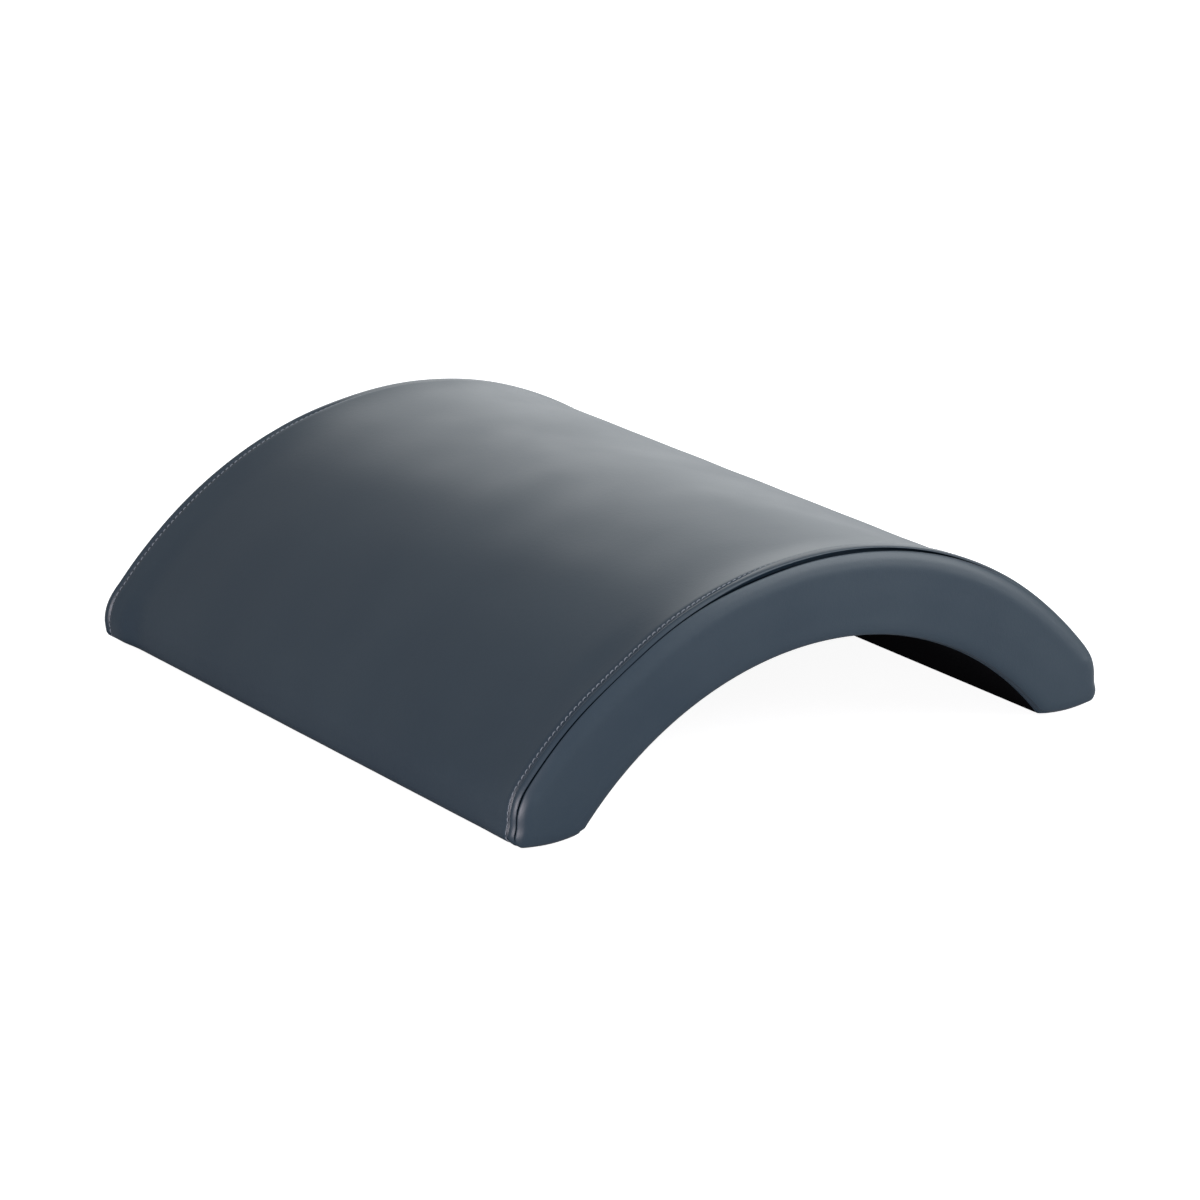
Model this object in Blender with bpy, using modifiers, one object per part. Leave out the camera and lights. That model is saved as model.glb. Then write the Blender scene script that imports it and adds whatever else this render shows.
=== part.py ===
"""Arched back stretcher: an upholstered arch on a plywood frame.

Metres, +Z up. X runs across the arch from foot to foot, Y runs along its length,
and the origin is on the floor under the middle of the arch.
"""
import math

import bmesh
import bpy
from mathutils import Matrix, Vector

# Driving dimensions of the finished arch
LENGTH = 0.600
WIDTH = 0.566
ARCH_HEIGHT = 0.1743
SIDE_HEIGHT = 0.021
SHOULDER_RADIUS = 0.0405
FOOT_ROLL_RADIUS = 0.008
FOOT_WIDTH = 0.0587
BAND_THICKNESS = 0.0687

# Clearance between pieces that touch, and how far a cutter runs past what it cuts
GAP = 0.0003
OVERRUN = 0.003

# Covers: vinyl thickness, the seam at each end, its turned fold, the stitch line and the hem
COVER_THICKNESS = 0.0015
SEAM_INSET = 0.006
SEAM_DEPTH = 0.003
FOLD_WIDTH = 0.0097
STITCH_DIP = 0.0012
DRAW_IN_WIDTH = 0.022
END_HEM_WIDTH = 0.020
END_EDGE_RADIUS = 0.009
FACE_CROWN = 0.001
THREAD_RADIUS = 0.0004

# Of the stitch dip, what is left on top of the fold, and of a width, where its rounded edge starts
FOLD_SAG_SHARE = 0.25
FOLD_EDGE_SHARE = 0.2

# Rings of an end cover past its seam: along the edge, then of the edge radius on each side of the
# band, which are the outer side, the inner side and the underside
END_EDGE_SHARES = (
    (0.20, 0.13, 0.00, 0.00),
    (0.58, 0.18, 0.00, 0.03),
    (0.85, 0.48, 0.20, 0.10),
    (1.00, 1.00, 0.70, 0.25),
)

# Foam
TOP_FOAM = 0.025
END_FOAM = 0.012

# Frame
RIB_THICKNESS = 0.018
RIB_TOE = 0.004
MIDDLE_RIB_SPACING = 0.190
DECK_THICKNESS = 0.004
SLAT_WIDTH = 0.040
SLAT_THICKNESS = 0.018
SLAT_SHARES = (-0.7, -0.35, 0.0, 0.35, 0.7)

# Lining of the underside, turned out under both feet
LINING_THICKNESS = 0.0008
LINING_MARGIN = 0.006
LINING_TURN = 0.009

# Glides under the feet
GLIDE_HEIGHT = 0.003
GLIDE_RADIUS = 0.009
GLIDE_BEVEL = 0.00075
GLIDE_END_SPARE = 0.010
GLIDE_SIDE_SPARE = 0.001

# Screws: shank radius, head radius, head height and length, and their places up a rail
FRAME_SCREW = {"shank": 0.0020, "head": 0.0040, "head_height": 0.0024, "length": 0.040}
GLIDE_SCREW = {"shank": 0.00175, "head": 0.0034, "head_height": 0.0018, "length": 0.018}
GLIDE_HEAD_DEPTH = 0.0006
RAIL_SCREW_SHARES = (0.28, 0.72)
TONGUE_SCREW_SHARE = 0.62

# How finely the round stretches are divided
ARC_STEPS = 10
SHOULDER_STEPS = 3
ROLL_STEPS = 3
SCREW_SIDES = 10
GLIDE_SIDES = 20


def opening_x(radius, height):
    """How far out a circle about the opening's centre is at a height near the floor."""
    return math.sqrt(radius ** 2 - (height - OPENING_CENTRE_Z) ** 2)


def crown_radius(reach, rise, corner):
    """The radius of an arc through the top of the arch that runs smoothly into both shoulders.

    A shoulder's centre lies this reach from the middle and this rise below the top.
    """
    return (reach ** 2 + rise ** 2 - corner ** 2) / (2 * (rise - corner))


# Places that follow from the dimensions
HALF_LENGTH = LENGTH / 2
HALF_WIDTH = WIDTH / 2
FOOT_Z = GLIDE_HEIGHT + GAP
SHOULDER_X = HALF_WIDTH - SHOULDER_RADIUS
SHOULDER_Z = FOOT_Z + SIDE_HEIGHT
ARCH_RADIUS = crown_radius(SHOULDER_X, ARCH_HEIGHT - SIDE_HEIGHT, SHOULDER_RADIUS)
CENTRE_Z = FOOT_Z + ARCH_HEIGHT - ARCH_RADIUS
OPENING_HEIGHT = ARCH_HEIGHT - BAND_THICKNESS
OPENING_REACH = HALF_WIDTH - FOOT_WIDTH
INNER_RADIUS = (OPENING_REACH ** 2 + OPENING_HEIGHT ** 2) / (2 * OPENING_HEIGHT)
OPENING_CENTRE_Z = FOOT_Z + OPENING_HEIGHT - INNER_RADIUS
JUNCTION_ANGLE = math.atan2(SHOULDER_X, SHOULDER_Z - CENTRE_Z)

SEAM_Y = HALF_LENGTH - SEAM_INSET
STITCH_Y = SEAM_Y - FOLD_WIDTH
UNDER_COVER = COVER_THICKNESS + STITCH_DIP + GAP
WOOD_OFFSET = UNDER_COVER + TOP_FOAM + GAP
FRAME_OFFSET = WOOD_OFFSET + DECK_THICKNESS + GAP
FRAME_RADIUS = ARCH_RADIUS - FRAME_OFFSET
WOOD_BOTTOM = FOOT_Z + UNDER_COVER
PAD_FACE = HALF_LENGTH - FACE_CROWN - COVER_THICKNESS - GAP
RIB_FACE = PAD_FACE - END_FOAM - GAP
RIB_BACK = RIB_FACE - RIB_THICKNESS
END_PAD_INSET = SEAM_DEPTH + 2 * COVER_THICKNESS
END_RIB_INNER_RADIUS = INNER_RADIUS + COVER_THICKNESS + GAP
RAIL_TOP = CENTRE_Z + FRAME_RADIUS * math.cos(JUNCTION_ANGLE)
RAIL_OUTER_X = HALF_WIDTH - WOOD_OFFSET
RAIL_INNER_X = opening_x(END_RIB_INNER_RADIUS, WOOD_BOTTOM) + RIB_TOE
FRAME_LENGTH = 2 * (RIB_BACK - GAP)
LINING_RADIUS = INNER_RADIUS - GAP
LINING_TOP = FOOT_Z - GAP
LINING_EDGE_X = opening_x(LINING_RADIUS, LINING_TOP) + LINING_TURN
HEM_EDGE_X = opening_x(END_RIB_INNER_RADIUS, FOOT_Z) + GAP
GLIDE_X = LINING_EDGE_X + GLIDE_SIDE_SPARE + GLIDE_RADIUS
GLIDE_Y = RIB_FACE - FRAME_SCREW["length"] - GLIDE_END_SPARE - GLIDE_RADIUS
SLAT_OUTER_RADIUS = math.sqrt(FRAME_RADIUS ** 2 - (SLAT_WIDTH / 2) ** 2) - GAP
SLAT_CENTRE_RADIUS = SLAT_OUTER_RADIUS - SLAT_THICKNESS / 2

SLAT_ANGLES = [JUNCTION_ANGLE * share for share in SLAT_SHARES]

SIDES = (("left", -1), ("right", 1))
ENDS = (("front", -1), ("rear", 1))


def clear_scene():
    """Removes the objects that a new file holds."""
    for item in list(bpy.data.objects):
        bpy.data.objects.remove(item)


def new_collection(name):
    """Makes a collection in the scene."""
    collection = bpy.data.collections.new(name)
    bpy.context.scene.collection.children.link(collection)
    return collection


def new_material(name, colour, roughness, metallic=0.0):
    """Makes a Principled material of one colour."""
    material = bpy.data.materials.new(name)
    material.use_nodes = True
    shader = material.node_tree.nodes["Principled BSDF"]
    shader.inputs["Base Color"].default_value = (*colour, 1.0)
    shader.inputs["Roughness"].default_value = roughness
    shader.inputs["Metallic"].default_value = metallic
    material.diffuse_color = (*colour, 1.0)
    return material


def add_object(name, mesh, material, collection):
    """Puts a mesh in a collection as a named object with its material."""
    mesh.name = name
    if material:
        mesh.materials.clear()
        mesh.materials.append(material)
    item = bpy.data.objects.new(name, mesh)
    collection.objects.link(item)
    return item


def shade_round(item):
    """Shades a mesh smooth, with its sharp edges kept."""
    item.data.shade_smooth()
    item.data.set_sharp_from_angle(angle=math.radians(35.0))


def arch_point(radius, angle):
    """A point in the section, at a radius and an angle from the top of the arch."""
    return (radius * math.sin(angle), CENTRE_Z + radius * math.cos(angle))


def mirrored(half):
    """A whole section line from its right half, which starts at the middle."""
    left = [(-x, z) for x, z in reversed(half[1:])]
    return left + half


def outer_half(offset):
    """Right half of the outer line, this far under the finished surface, down to the foot."""
    points = []
    for step in range(ARC_STEPS + 1):
        points.append(arch_point(ARCH_RADIUS - offset, JUNCTION_ANGLE * step / ARC_STEPS))
    radius = SHOULDER_RADIUS - offset
    for step in range(1, SHOULDER_STEPS + 1):
        angle = JUNCTION_ANGLE + (math.pi / 2 - JUNCTION_ANGLE) * step / SHOULDER_STEPS
        points.append((SHOULDER_X + radius * math.sin(angle), SHOULDER_Z + radius * math.cos(angle)))
    return points


def foot_roll(side_offset, bottom_offset):
    """The rounded turn from the side of the right foot to its underside, tighter the deeper it lies."""
    points = []
    offset = max(side_offset, bottom_offset)
    radius = FOOT_ROLL_RADIUS ** 2 / (FOOT_ROLL_RADIUS + offset)
    x = HALF_WIDTH - side_offset - radius
    z = FOOT_Z + bottom_offset + radius
    for step in range(ROLL_STEPS + 1):
        angle = math.pi / 2 * step / ROLL_STEPS
        points.append((x + radius * math.cos(angle), z - radius * math.sin(angle)))
    return points


def inner_line(radius, height, steps):
    """The arc over the opening, from the right foot at this height to the left foot."""
    reach = math.acos((height - OPENING_CENTRE_Z) / radius)
    points = []
    for step in range(steps + 1):
        angle = reach * (1 - 2 * step / steps)
        points.append((radius * math.sin(angle), OPENING_CENTRE_Z + radius * math.cos(angle)))
    return points


def flat_piece(name, outline, thickness, centre_y, material, collection):
    """A plate cut to an outline in the XZ plane, with its thickness along Y."""
    curve = bpy.data.curves.new(name, "CURVE")
    curve.dimensions = "2D"
    curve.fill_mode = "BOTH"
    curve.extrude = thickness / 2
    spline = curve.splines.new("POLY")
    spline.points.add(len(outline) - 1)
    for point, (x, z) in zip(spline.points, outline):
        point.co = (x, z, 0.0, 1.0)
    spline.use_cyclic_u = True
    guide = bpy.data.objects.new(name, curve)
    guide.location = (0.0, centre_y, 0.0)
    guide.rotation_euler = (math.pi / 2, 0.0, 0.0)
    collection.objects.link(guide)
    return solid_from_curve(guide, material, collection)


def solid_from_curve(guide, material, collection):
    """Turns a curve into a closed mesh in the same place."""
    name = guide.name
    bpy.context.view_layer.update()
    evaluated = guide.evaluated_get(bpy.context.evaluated_depsgraph_get())
    mesh = bpy.data.meshes.new_from_object(evaluated)
    place = guide.matrix_world.copy()
    bpy.data.objects.remove(guide)
    edit = bmesh.new()
    edit.from_mesh(mesh)
    bmesh.ops.remove_doubles(edit, verts=edit.verts, dist=GAP / 100)
    edit.to_mesh(mesh)
    edit.free()
    item = add_object(name, mesh, material, collection)
    item.matrix_world = place
    return item


def loft(rings, closed, flipped):
    """A surface through rings of as many points each, as an editable mesh and its rows of points."""
    edit = bmesh.new()
    rows = [[edit.verts.new(point) for point in ring] for ring in rings]
    count = len(rings[0])
    for row, following in zip(rows, rows[1:]):
        for index in range(count if closed else count - 1):
            beside = (index + 1) % count
            corners = [row[index], row[beside], following[beside], following[index]]
            edit.faces.new(reversed(corners) if flipped else corners)
    return edit, rows


def finish_loft(edit, name, material, collection):
    """Writes an editable mesh to an object."""
    mesh = bpy.data.meshes.new(name)
    edit.to_mesh(mesh)
    edit.free()
    return add_object(name, mesh, material, collection)


def fill_band(edit, ring, crown_y, flipped):
    """Closes the end of an arched band: rungs across it, each but the last two crowned."""
    count = len(ring) // 2
    outer = ring[:count]
    inner = list(reversed(ring[count:]))
    middles = {}
    for index in range(1, count - 1):
        centre = (outer[index].co + inner[index].co) / 2
        centre.y = crown_y
        middles[index] = edit.verts.new(centre)
    first, last = 1, count - 2
    faces = [
        (outer[0], outer[1], middles[first]),
        (outer[0], middles[first], inner[0]),
        (middles[first], inner[1], inner[0]),
        (outer[-2], outer[-1], middles[last]),
        (middles[last], outer[-1], inner[-1]),
        (middles[last], inner[-1], inner[-2]),
    ]
    for index in range(first, last):
        faces.append((outer[index], outer[index + 1], middles[index + 1], middles[index]))
        faces.append((middles[index], middles[index + 1], inner[index + 1], inner[index]))
    for corners in faces:
        edit.faces.new(reversed(corners) if flipped else corners)


def add_shell(item, thickness):
    """Gives an open surface its thickness, on its inner side."""
    shell = item.modifiers.new("shell", "SOLIDIFY")
    shell.thickness = thickness
    shell.offset = -1.0
    shell.use_even_offset = True
    return shell


def cover_profile():
    """Stations of the top cover from the middle to a seam: distance along Y and dip."""
    sag = STITCH_DIP * FOLD_SAG_SHARE
    return [
        (0.0, 0.0),
        (STITCH_Y / 2, 0.0),
        (STITCH_Y - DRAW_IN_WIDTH, 0.0),
        (STITCH_Y - DRAW_IN_WIDTH * FOLD_EDGE_SHARE, sag),
        (STITCH_Y, STITCH_DIP),
        (STITCH_Y + FOLD_WIDTH * FOLD_EDGE_SHARE, sag),
        (SEAM_Y - SEAM_DEPTH / 2, 2 * sag),
        (SEAM_Y - GAP / 2, SEAM_DEPTH),
    ]


def make_top_cover(material, collection):
    """The vinyl panel over the arch, down both sides and under both feet."""
    half = cover_profile()
    stations = [(-y, dip) for y, dip in reversed(half[1:])] + half
    rings = []
    for y, dip in stations:
        line = outer_half(dip) + foot_roll(dip, dip)
        line.append((HEM_EDGE_X, FOOT_Z + dip))
        rings.append([Vector((x, y, z)) for x, z in mirrored(line)])
    edit, _ = loft(rings, False, False)
    cover = finish_loft(edit, "top_cover", material, collection)
    add_shell(cover, COVER_THICKNESS)
    return cover


def band_ring(outer_inset, inner_inset, bottom_inset):
    """Closed outline of the arched end, each side drawn in by its own amount, and its corners."""
    outer = mirrored(outer_half(outer_inset) + foot_roll(outer_inset, bottom_inset))
    steps = len(outer) - 1
    inner = inner_line(INNER_RADIUS + inner_inset, FOOT_Z + bottom_inset, steps)
    return outer, inner


def end_cover_profile():
    """Rings of an end cover: distance along Y, then how far each side of the band is drawn in."""
    start = SEAM_Y + GAP / 2
    reach = HALF_LENGTH - FACE_CROWN - start
    rings = [(start, SEAM_DEPTH, 0.0, 0.0)]
    for along, *insets in END_EDGE_SHARES:
        rings.append((start + reach * along, *[END_EDGE_RADIUS * inset for inset in insets]))
    return rings


def make_end_cover(name, side, material, collection):
    """The vinyl panel on one end, turned in over the rounded edge to the seam and the hem."""
    rings = []
    for number, (y, outer_inset, inner_inset, bottom_inset) in enumerate(end_cover_profile()):
        outer, inner = band_ring(outer_inset, inner_inset, bottom_inset)
        ring = [Vector((x, side * y, z)) for x, z in outer]
        hem_y = HALF_LENGTH - END_HEM_WIDTH if number == 0 else y
        last = len(inner) - 1
        for index, (x, z) in enumerate(inner):
            corner = index in (0, last)
            ring.append(Vector((x, side * (y if corner else hem_y), z)))
        rings.append(ring)
    flipped = side < 0
    edit, rows = loft(rings, True, flipped)
    fill_band(edit, rows[-1], side * HALF_LENGTH, flipped)
    cover = finish_loft(edit, name, material, collection)
    add_shell(cover, COVER_THICKNESS)
    return cover


def make_thread(name, side, material, collection):
    """The row of top stitching beside one seam, as one thread."""
    offset = STITCH_DIP - GAP - THREAD_RADIUS
    line = outer_half(offset) + foot_roll(offset, offset)[:1]
    curve = bpy.data.curves.new(name, "CURVE")
    curve.dimensions = "3D"
    curve.bevel_depth = THREAD_RADIUS
    curve.bevel_resolution = 1
    curve.use_fill_caps = True
    spline = curve.splines.new("POLY")
    route = mirrored(line)
    spline.points.add(len(route) - 1)
    for point, (x, z) in zip(spline.points, route):
        point.co = (x, side * STITCH_Y, z, 1.0)
    curve.materials.append(material)
    thread = bpy.data.objects.new(name, curve)
    collection.objects.link(thread)
    return thread


def make_top_pad(material, collection):
    """The foam sheet over the deck and down to the feet."""
    outer = mirrored(outer_half(UNDER_COVER) + foot_roll(UNDER_COVER, UNDER_COVER))
    under = outer_half(UNDER_COVER + TOP_FOAM)
    under.append((HALF_WIDTH - UNDER_COVER - TOP_FOAM, WOOD_BOTTOM))
    outline = outer + list(reversed(mirrored(under)))
    return flat_piece("top_foam_pad", outline, 2 * RIB_FACE, 0.0, material, collection)


def make_end_pad(name, side, material, collection):
    """The thin foam pad on one end rib."""
    profile = (
        (RIB_FACE + GAP, END_PAD_INSET),
        (SEAM_Y, END_PAD_INSET),
        (PAD_FACE, END_PAD_INSET + SEAM_DEPTH),
    )
    rings = []
    for y, inset in profile:
        outer, inner = band_ring(inset, inset, inset)
        rings.append([Vector((x, side * y, z)) for x, z in outer + inner])
    flipped = side < 0
    edit, rows = loft(rings, True, flipped)
    fill_band(edit, rows[-1], side * PAD_FACE, flipped)
    fill_band(edit, rows[0], side * (RIB_FACE + GAP), not flipped)
    return finish_loft(edit, name, material, collection)


def rebated_half():
    """Right half of the frame's outer line: under the deck, its rebate, the shoulder and the side."""
    half = outer_half(WOOD_OFFSET)
    under_deck = [
        arch_point(FRAME_RADIUS, JUNCTION_ANGLE * step / ARC_STEPS) for step in range(ARC_STEPS + 1)
    ]
    return under_deck + half[ARC_STEPS:]


def make_end_rib(name, side, material, collection):
    """The plywood arch at one end."""
    outer = rebated_half()
    outer.append((RAIL_OUTER_X, WOOD_BOTTOM))
    inner = inner_line(END_RIB_INNER_RADIUS, WOOD_BOTTOM, 2 * (ARC_STEPS + SHOULDER_STEPS))
    centre_y = side * (RIB_FACE - RIB_THICKNESS / 2)
    return flat_piece(name, mirrored(outer) + inner, RIB_THICKNESS, centre_y, material, collection)


def make_middle_rib(name, side, material, collection):
    """A plywood arch inside, which stands on both rails with a tongue behind each."""
    seat_z = RAIL_TOP + GAP
    reach = math.acos((seat_z - CENTRE_Z) / FRAME_RADIUS)
    outer = [arch_point(FRAME_RADIUS, reach * step / ARC_STEPS) for step in range(ARC_STEPS + 1)]
    tongue_x = RAIL_INNER_X - GAP
    outer.append((tongue_x, seat_z))
    outer.append((tongue_x, WOOD_BOTTOM))
    inner = inner_line(INNER_RADIUS, WOOD_BOTTOM, 2 * (ARC_STEPS + SHOULDER_STEPS))
    centre_y = side * MIDDLE_RIB_SPACING / 2
    return flat_piece(name, mirrored(outer) + inner, RIB_THICKNESS, centre_y, material, collection)


def make_rail(name, side, material, collection):
    """The base rail along one foot, with the deck's rebate along its top."""
    outline = [(side * x, z) for x, z in rebated_half()[ARC_STEPS:]]
    outline.append((side * RAIL_OUTER_X, WOOD_BOTTOM))
    outline.append((side * RAIL_INNER_X, WOOD_BOTTOM))
    outline.append((side * RAIL_INNER_X, RAIL_TOP))
    return flat_piece(name, outline, FRAME_LENGTH, 0.0, material, collection)


def add_box(name, size, place, turn, material, collection):
    """A box of the given size, turned about Y, with its scale applied."""
    bpy.ops.mesh.primitive_cube_add(size=1.0)
    box = bpy.context.active_object
    box.name = name
    box.data.name = name
    box.data.transform(Matrix.Diagonal((*size, 1.0)))
    box.location = place
    box.rotation_euler = (0.0, turn, 0.0)
    for owner in list(box.users_collection):
        owner.objects.unlink(box)
    collection.objects.link(box)
    if material:
        box.data.materials.append(material)
    return box


def make_slat(name, angle, material, collection):
    """A slat that runs along the arch, at an angle from its top."""
    x, z = arch_point(SLAT_CENTRE_RADIUS, angle)
    size = (SLAT_WIDTH, FRAME_LENGTH, SLAT_THICKNESS)
    return add_box(name, size, (x, 0.0, z), angle, material, collection)


def make_notch(name, angle, cutters):
    """The cutter for a slat's notch in the middle ribs, open on its outer side."""
    x, z = arch_point(SLAT_CENTRE_RADIUS + (OVERRUN - GAP) / 2, angle)
    size = (SLAT_WIDTH + 2 * GAP, FRAME_LENGTH, SLAT_THICKNESS + GAP + OVERRUN)
    return add_box(name, size, (x, 0.0, z), angle, None, cutters)


def make_deck(material, collection):
    """The bent plywood skin between the foam and the frame: an edge swept over the arch."""
    radius = ARCH_RADIUS - WOOD_OFFSET
    reach = JUNCTION_ANGLE - GAP / radius
    mesh = bpy.data.meshes.new("bent_deck")
    mesh.from_pydata([(0.0, RIB_FACE, radius), (0.0, -RIB_FACE, radius)], [(0, 1)], [])
    deck = add_object("bent_deck", mesh, material, collection)
    deck.location = (0.0, 0.0, CENTRE_Z)
    deck.rotation_euler = (0.0, -reach, 0.0)
    sweep = deck.modifiers.new("sweep", "SCREW")
    sweep.axis = "Y"
    sweep.angle = 2 * reach
    sweep.steps = 2 * ARC_STEPS
    sweep.render_steps = 2 * ARC_STEPS
    add_shell(deck, DECK_THICKNESS)
    return deck


def make_lining(material, collection):
    """The dark lining under the arch, over the hems of the covers and turned out under the feet."""
    steps = 2 * (ARC_STEPS + SHOULDER_STEPS + ROLL_STEPS)
    bottom = LINING_TOP - LINING_THICKNESS
    upper = inner_line(LINING_RADIUS, LINING_TOP, steps)
    lower = inner_line(LINING_RADIUS - LINING_THICKNESS, bottom, steps)
    outline = [(LINING_EDGE_X, bottom), (LINING_EDGE_X, LINING_TOP)]
    outline += upper
    outline += [(-LINING_EDGE_X, LINING_TOP), (-LINING_EDGE_X, bottom)]
    outline += list(reversed(lower))
    length = 2 * (HALF_LENGTH - LINING_MARGIN)
    return flat_piece("underside_lining", outline, length, 0.0, material, collection)


def turned_piece(name, profile, sides, material, collection):
    """A profile turned about its own Z axis."""
    mesh = bpy.data.meshes.new(name)
    edges = [(index, index + 1) for index in range(len(profile) - 1)]
    mesh.from_pydata([(x, 0.0, z) for x, z in profile], edges, [])
    item = add_object(name, mesh, material, collection)
    turn = item.modifiers.new("turn", "SCREW")
    turn.steps = sides
    turn.render_steps = sides
    turn.use_merge_vertices = True
    turn.merge_threshold = GAP / 100
    return item


def screw_profile(screw, margin):
    """The outer line of a countersunk screw, from the rim of its head down, grown by a margin."""
    shank = screw["shank"] + margin
    length = screw["length"] + margin
    return [
        (screw["head"] + margin, -margin),
        (shank, -screw["head_height"] - margin),
        (shank, shank - length),
        (0.0, -length),
    ]


def place_screw(name, screw, place, turn, carriers, material, collection, cutters):
    """A screw and the hole that it needs in each piece that it passes through."""
    profile = [(0.0, 0.0)] + screw_profile(screw, 0.0)
    item = turned_piece(name, profile, SCREW_SIDES, material, collection)
    mouth = screw["head"] + GAP
    opening = [(0.0, OVERRUN), (mouth, OVERRUN)] + screw_profile(screw, GAP)
    hole = turned_piece(name + "_hole", opening, SCREW_SIDES, None, cutters)
    for piece in (item, hole):
        piece.location = place
        piece.rotation_euler = turn
    for carrier in carriers:
        cut(carrier, hole)
    return item


def cut(item, cutter):
    """Cuts one piece by a cutter, which stays in the file as a guide."""
    cutter.hide_render = True
    cutter.display_type = "WIRE"
    boolean = item.modifiers.new("cut_" + cutter.name, "BOOLEAN")
    boolean.operation = "DIFFERENCE"
    boolean.solver = "EXACT"
    boolean.object = cutter


def make_glide(name, x, y, material, collection):
    """A rubber glide under a foot."""
    profile = [
        (0.0, GLIDE_HEIGHT),
        (GLIDE_RADIUS, GLIDE_HEIGHT),
        (GLIDE_RADIUS, GLIDE_BEVEL),
        (GLIDE_RADIUS - GLIDE_BEVEL, 0.0),
        (0.0, 0.0),
    ]
    glide = turned_piece(name, profile, GLIDE_SIDES, material, collection)
    glide.location = (x, y, 0.0)
    return glide


def main():
    """Builds the back stretcher."""
    clear_scene()
    stretcher = new_collection("back_stretcher")
    cutters = new_collection("cutters")
    vinyl = new_material("slate_vinyl", (0.052, 0.071, 0.092), 0.42)
    foam = new_material("foam", (0.62, 0.60, 0.52), 0.95)
    plywood = new_material("plywood", (0.56, 0.40, 0.24), 0.65)
    timber = new_material("timber", (0.62, 0.45, 0.26), 0.70)
    lining_cloth = new_material("lining_cloth", (0.012, 0.012, 0.014), 0.90)
    thread = new_material("thread", (0.26, 0.30, 0.34), 0.60)
    rubber = new_material("rubber", (0.02, 0.02, 0.02), 0.80)
    steel = new_material("zinc_steel", (0.60, 0.60, 0.58), 0.35, 1.0)

    top_cover = make_top_cover(vinyl, stretcher)
    make_top_pad(foam, stretcher)
    make_deck(plywood, stretcher)
    make_lining(lining_cloth, stretcher)

    end_ribs = {}
    for end, sign in ENDS:
        make_end_cover(end + "_end_cover", sign, vinyl, stretcher)
        make_end_pad(end + "_end_foam_pad", sign, foam, stretcher)
        make_thread(end + "_topstitch_thread", sign, thread, stretcher)
        end_ribs[end] = make_end_rib(end + "_end_rib", sign, plywood, stretcher)

    middle_ribs = {}
    for end, sign in ENDS:
        middle_ribs[end] = make_middle_rib(end + "_middle_rib", sign, plywood, stretcher)

    slats = []
    for number, angle in enumerate(SLAT_ANGLES, start=1):
        slats.append(make_slat(f"slat_{number}", angle, timber, stretcher))
        notch = make_notch(f"slat_{number}_notch", angle, cutters)
        for end, _ in ENDS:
            cut(middle_ribs[end], notch)

    rails = {}
    for side, sign in SIDES:
        rails[side] = make_rail(side + "_base_rail", sign, timber, stretcher)

    for end, sign in ENDS:
        turn = (-sign * math.pi / 2, 0.0, 0.0)
        for number, angle in enumerate(SLAT_ANGLES, start=1):
            x, z = arch_point(SLAT_CENTRE_RADIUS, angle)
            place_screw(
                f"{end}_slat_{number}_screw", FRAME_SCREW, (x, sign * RIB_FACE, z), turn,
                (end_ribs[end], slats[number - 1]), steel, stretcher, cutters
            )
        for side, side_sign in SIDES:
            for number, share in enumerate(RAIL_SCREW_SHARES, start=1):
                x = side_sign * (RAIL_INNER_X + RAIL_OUTER_X) / 2
                z = WOOD_BOTTOM + share * (RAIL_TOP - WOOD_BOTTOM)
                place_screw(
                    f"{end}_{side}_rail_screw_{number}", FRAME_SCREW, (x, sign * RIB_FACE, z), turn,
                    (end_ribs[end], rails[side]), steel, stretcher, cutters
                )

    for end, sign in ENDS:
        for side, side_sign in SIDES:
            z = WOOD_BOTTOM + TONGUE_SCREW_SHARE * (RAIL_TOP - WOOD_BOTTOM)
            place = (side_sign * RAIL_OUTER_X, sign * MIDDLE_RIB_SPACING / 2, z)
            place_screw(
                f"{end}_{side}_tongue_screw", FRAME_SCREW, place, (0.0, side_sign * math.pi / 2, 0.0),
                (rails[side], middle_ribs[end]), steel, stretcher, cutters
            )
            glide_x = side_sign * GLIDE_X
            glide_y = sign * GLIDE_Y
            glide = make_glide(f"{end}_{side}_glide", glide_x, glide_y, rubber, stretcher)
            place_screw(
                f"{end}_{side}_glide_screw", GLIDE_SCREW, (glide_x, glide_y, GLIDE_HEAD_DEPTH),
                (math.pi, 0.0, 0.0), (glide, top_cover, rails[side]), steel, stretcher, cutters
            )

    for item in stretcher.objects:
        if item.type == "MESH":
            shade_round(item)


main()
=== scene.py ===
"""The looks of an arched back stretcher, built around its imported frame.

Metres, +Z up. X runs across the arch from foot to foot, Y runs along its length, and the
origin is on the floor under the middle of the arch.
"""

import logging
import math
from dataclasses import dataclass, field
from enum import Enum
from functools import cached_property

import bmesh
import bpy
import numpy as np
from mathutils import Matrix, Vector


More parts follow.
